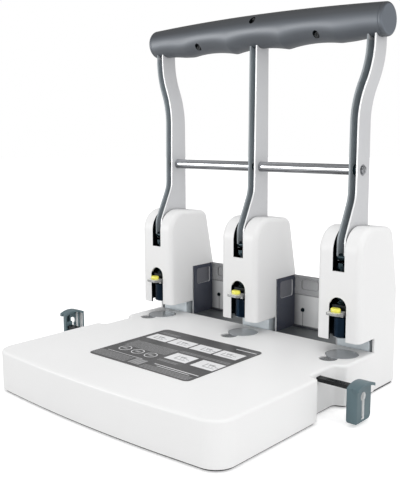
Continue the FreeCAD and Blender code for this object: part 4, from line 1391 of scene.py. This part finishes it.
def make_floor():
    work = bmesh.new()
    bmesh.ops.create_circle(work, cap_ends=True, radius=6.0, segments=96)
    mesh = mesh_from(work, "studio_floor")
    mesh.materials.append(finish("studio_floor"))
    floor = placed("studio_floor", mesh)


def make_world():
    world = bpy.data.worlds.new("studio")
    bpy.context.scene.world = world
    world.use_nodes = True
    tree = world.node_tree
    sky = tree.nodes["Background"]
    sky.inputs["Color"].default_value = (1, 1, 1, 1)
    glossy = tree.nodes.new("ShaderNodeLightPath").outputs["Is Glossy Ray"]
    level = calc(tree, "MULTIPLY_ADD", glossy, MIRRORED_SKY - LIT_SKY, LIT_SKY)
    put(tree, sky.inputs["Strength"], calc(tree, "MAXIMUM", level, seen_rays(tree)))


def make_camera():
    yaw, pitch, roll = (math.radians(v) for v in (CAMERA_YAW, CAMERA_PITCH, CAMERA_ROLL))
    data = bpy.data.cameras.new("camera")
    data.sensor_width = CAMERA_SENSOR
    data.lens = CAMERA_LENS
    data.clip_start = 0.01
    camera = placed("camera", data)
    turn = Matrix.Rotation(yaw, 4, "Z") @ Matrix.Rotation(math.pi / 2 - pitch, 4, "X")
    camera.matrix_world = Matrix.Translation(CAMERA_SPOT) @ turn @ Matrix.Rotation(roll, 4, "Z")
    bpy.context.scene.camera = camera


class PUNCH_OT_studio(bpy.types.Operator):
    """Set the floor, the lamps, the world and the camera"""

    bl_idname = "punch.studio"
    bl_label = "Studio"

    def execute(self, context):
        make_camera()
        make_floor()
        make_world()
        lamp("top_softbox", (0.1, -0.3, 1.5), (0, 0, 0.1), (1.6, 1.2), 3.0)
        lamp("left_softbox", (-0.9, -1.2, 0.55), (0, 0, 0.2), (1.0, 0.7), 0.5)
        lamp("right_softbox", (1.4, -0.2, 0.4), (0, 0, 0.08), (0.8, 0.9), 2.0)
        strip = lamp("gloss_strip", (-0.75, -0.9, 0.22), (0, 0.09, 0.3), (0.6, 0.6), 12.0)
        strip.visible_diffuse = False
        context.scene.view_settings.view_transform = "Standard"
        return {"FINISHED"}


class PUNCH_PT_panel(bpy.types.Panel):
    """Lists the steps that dress the punch"""

    bl_idname = "PUNCH_PT_panel"
    bl_label = "Lever punch"
    bl_space_type = "VIEW_3D"
    bl_region_type = "UI"
    bl_category = "Punch"

    def draw(self, context):
        column = self.layout.column(align=True)
        for operator in OPERATORS:
            column.operator(operator.bl_idname)
        for group in (context.scene.punch_sizes, context.scene.punch_colours):
            for name in group.__annotations__:
                self.layout.prop(group, name)


OPERATORS = (
    PUNCH_OT_studio,
    PUNCH_OT_table,
    PUNCH_OT_heads,
    PUNCH_OT_punches,
    PUNCH_OT_latches,
    PUNCH_OT_discs,
    PUNCH_OT_levers,
    PUNCH_OT_grip,
    PUNCH_OT_guards,
    PUNCH_OT_guides,
    PUNCH_OT_label,
)
CLASSES = (PunchSizes, PunchColours) + OPERATORS + (PUNCH_PT_panel,)


def register():
    for made in CLASSES:
        bpy.utils.register_class(made)
    bpy.types.Scene.punch_sizes = bpy.props.PointerProperty(type=PunchSizes)
    bpy.types.Scene.punch_colours = bpy.props.PointerProperty(type=PunchColours)


def unregister():
    del bpy.types.Scene.punch_colours
    del bpy.types.Scene.punch_sizes
    for made in reversed(CLASSES):
        bpy.utils.unregister_class(made)


def main():
    register()
    for operator in OPERATORS:
        group, name = operator.bl_idname.split(".")
        getattr(getattr(bpy.ops, group), name)()


if __name__ == "__main__":
    main()
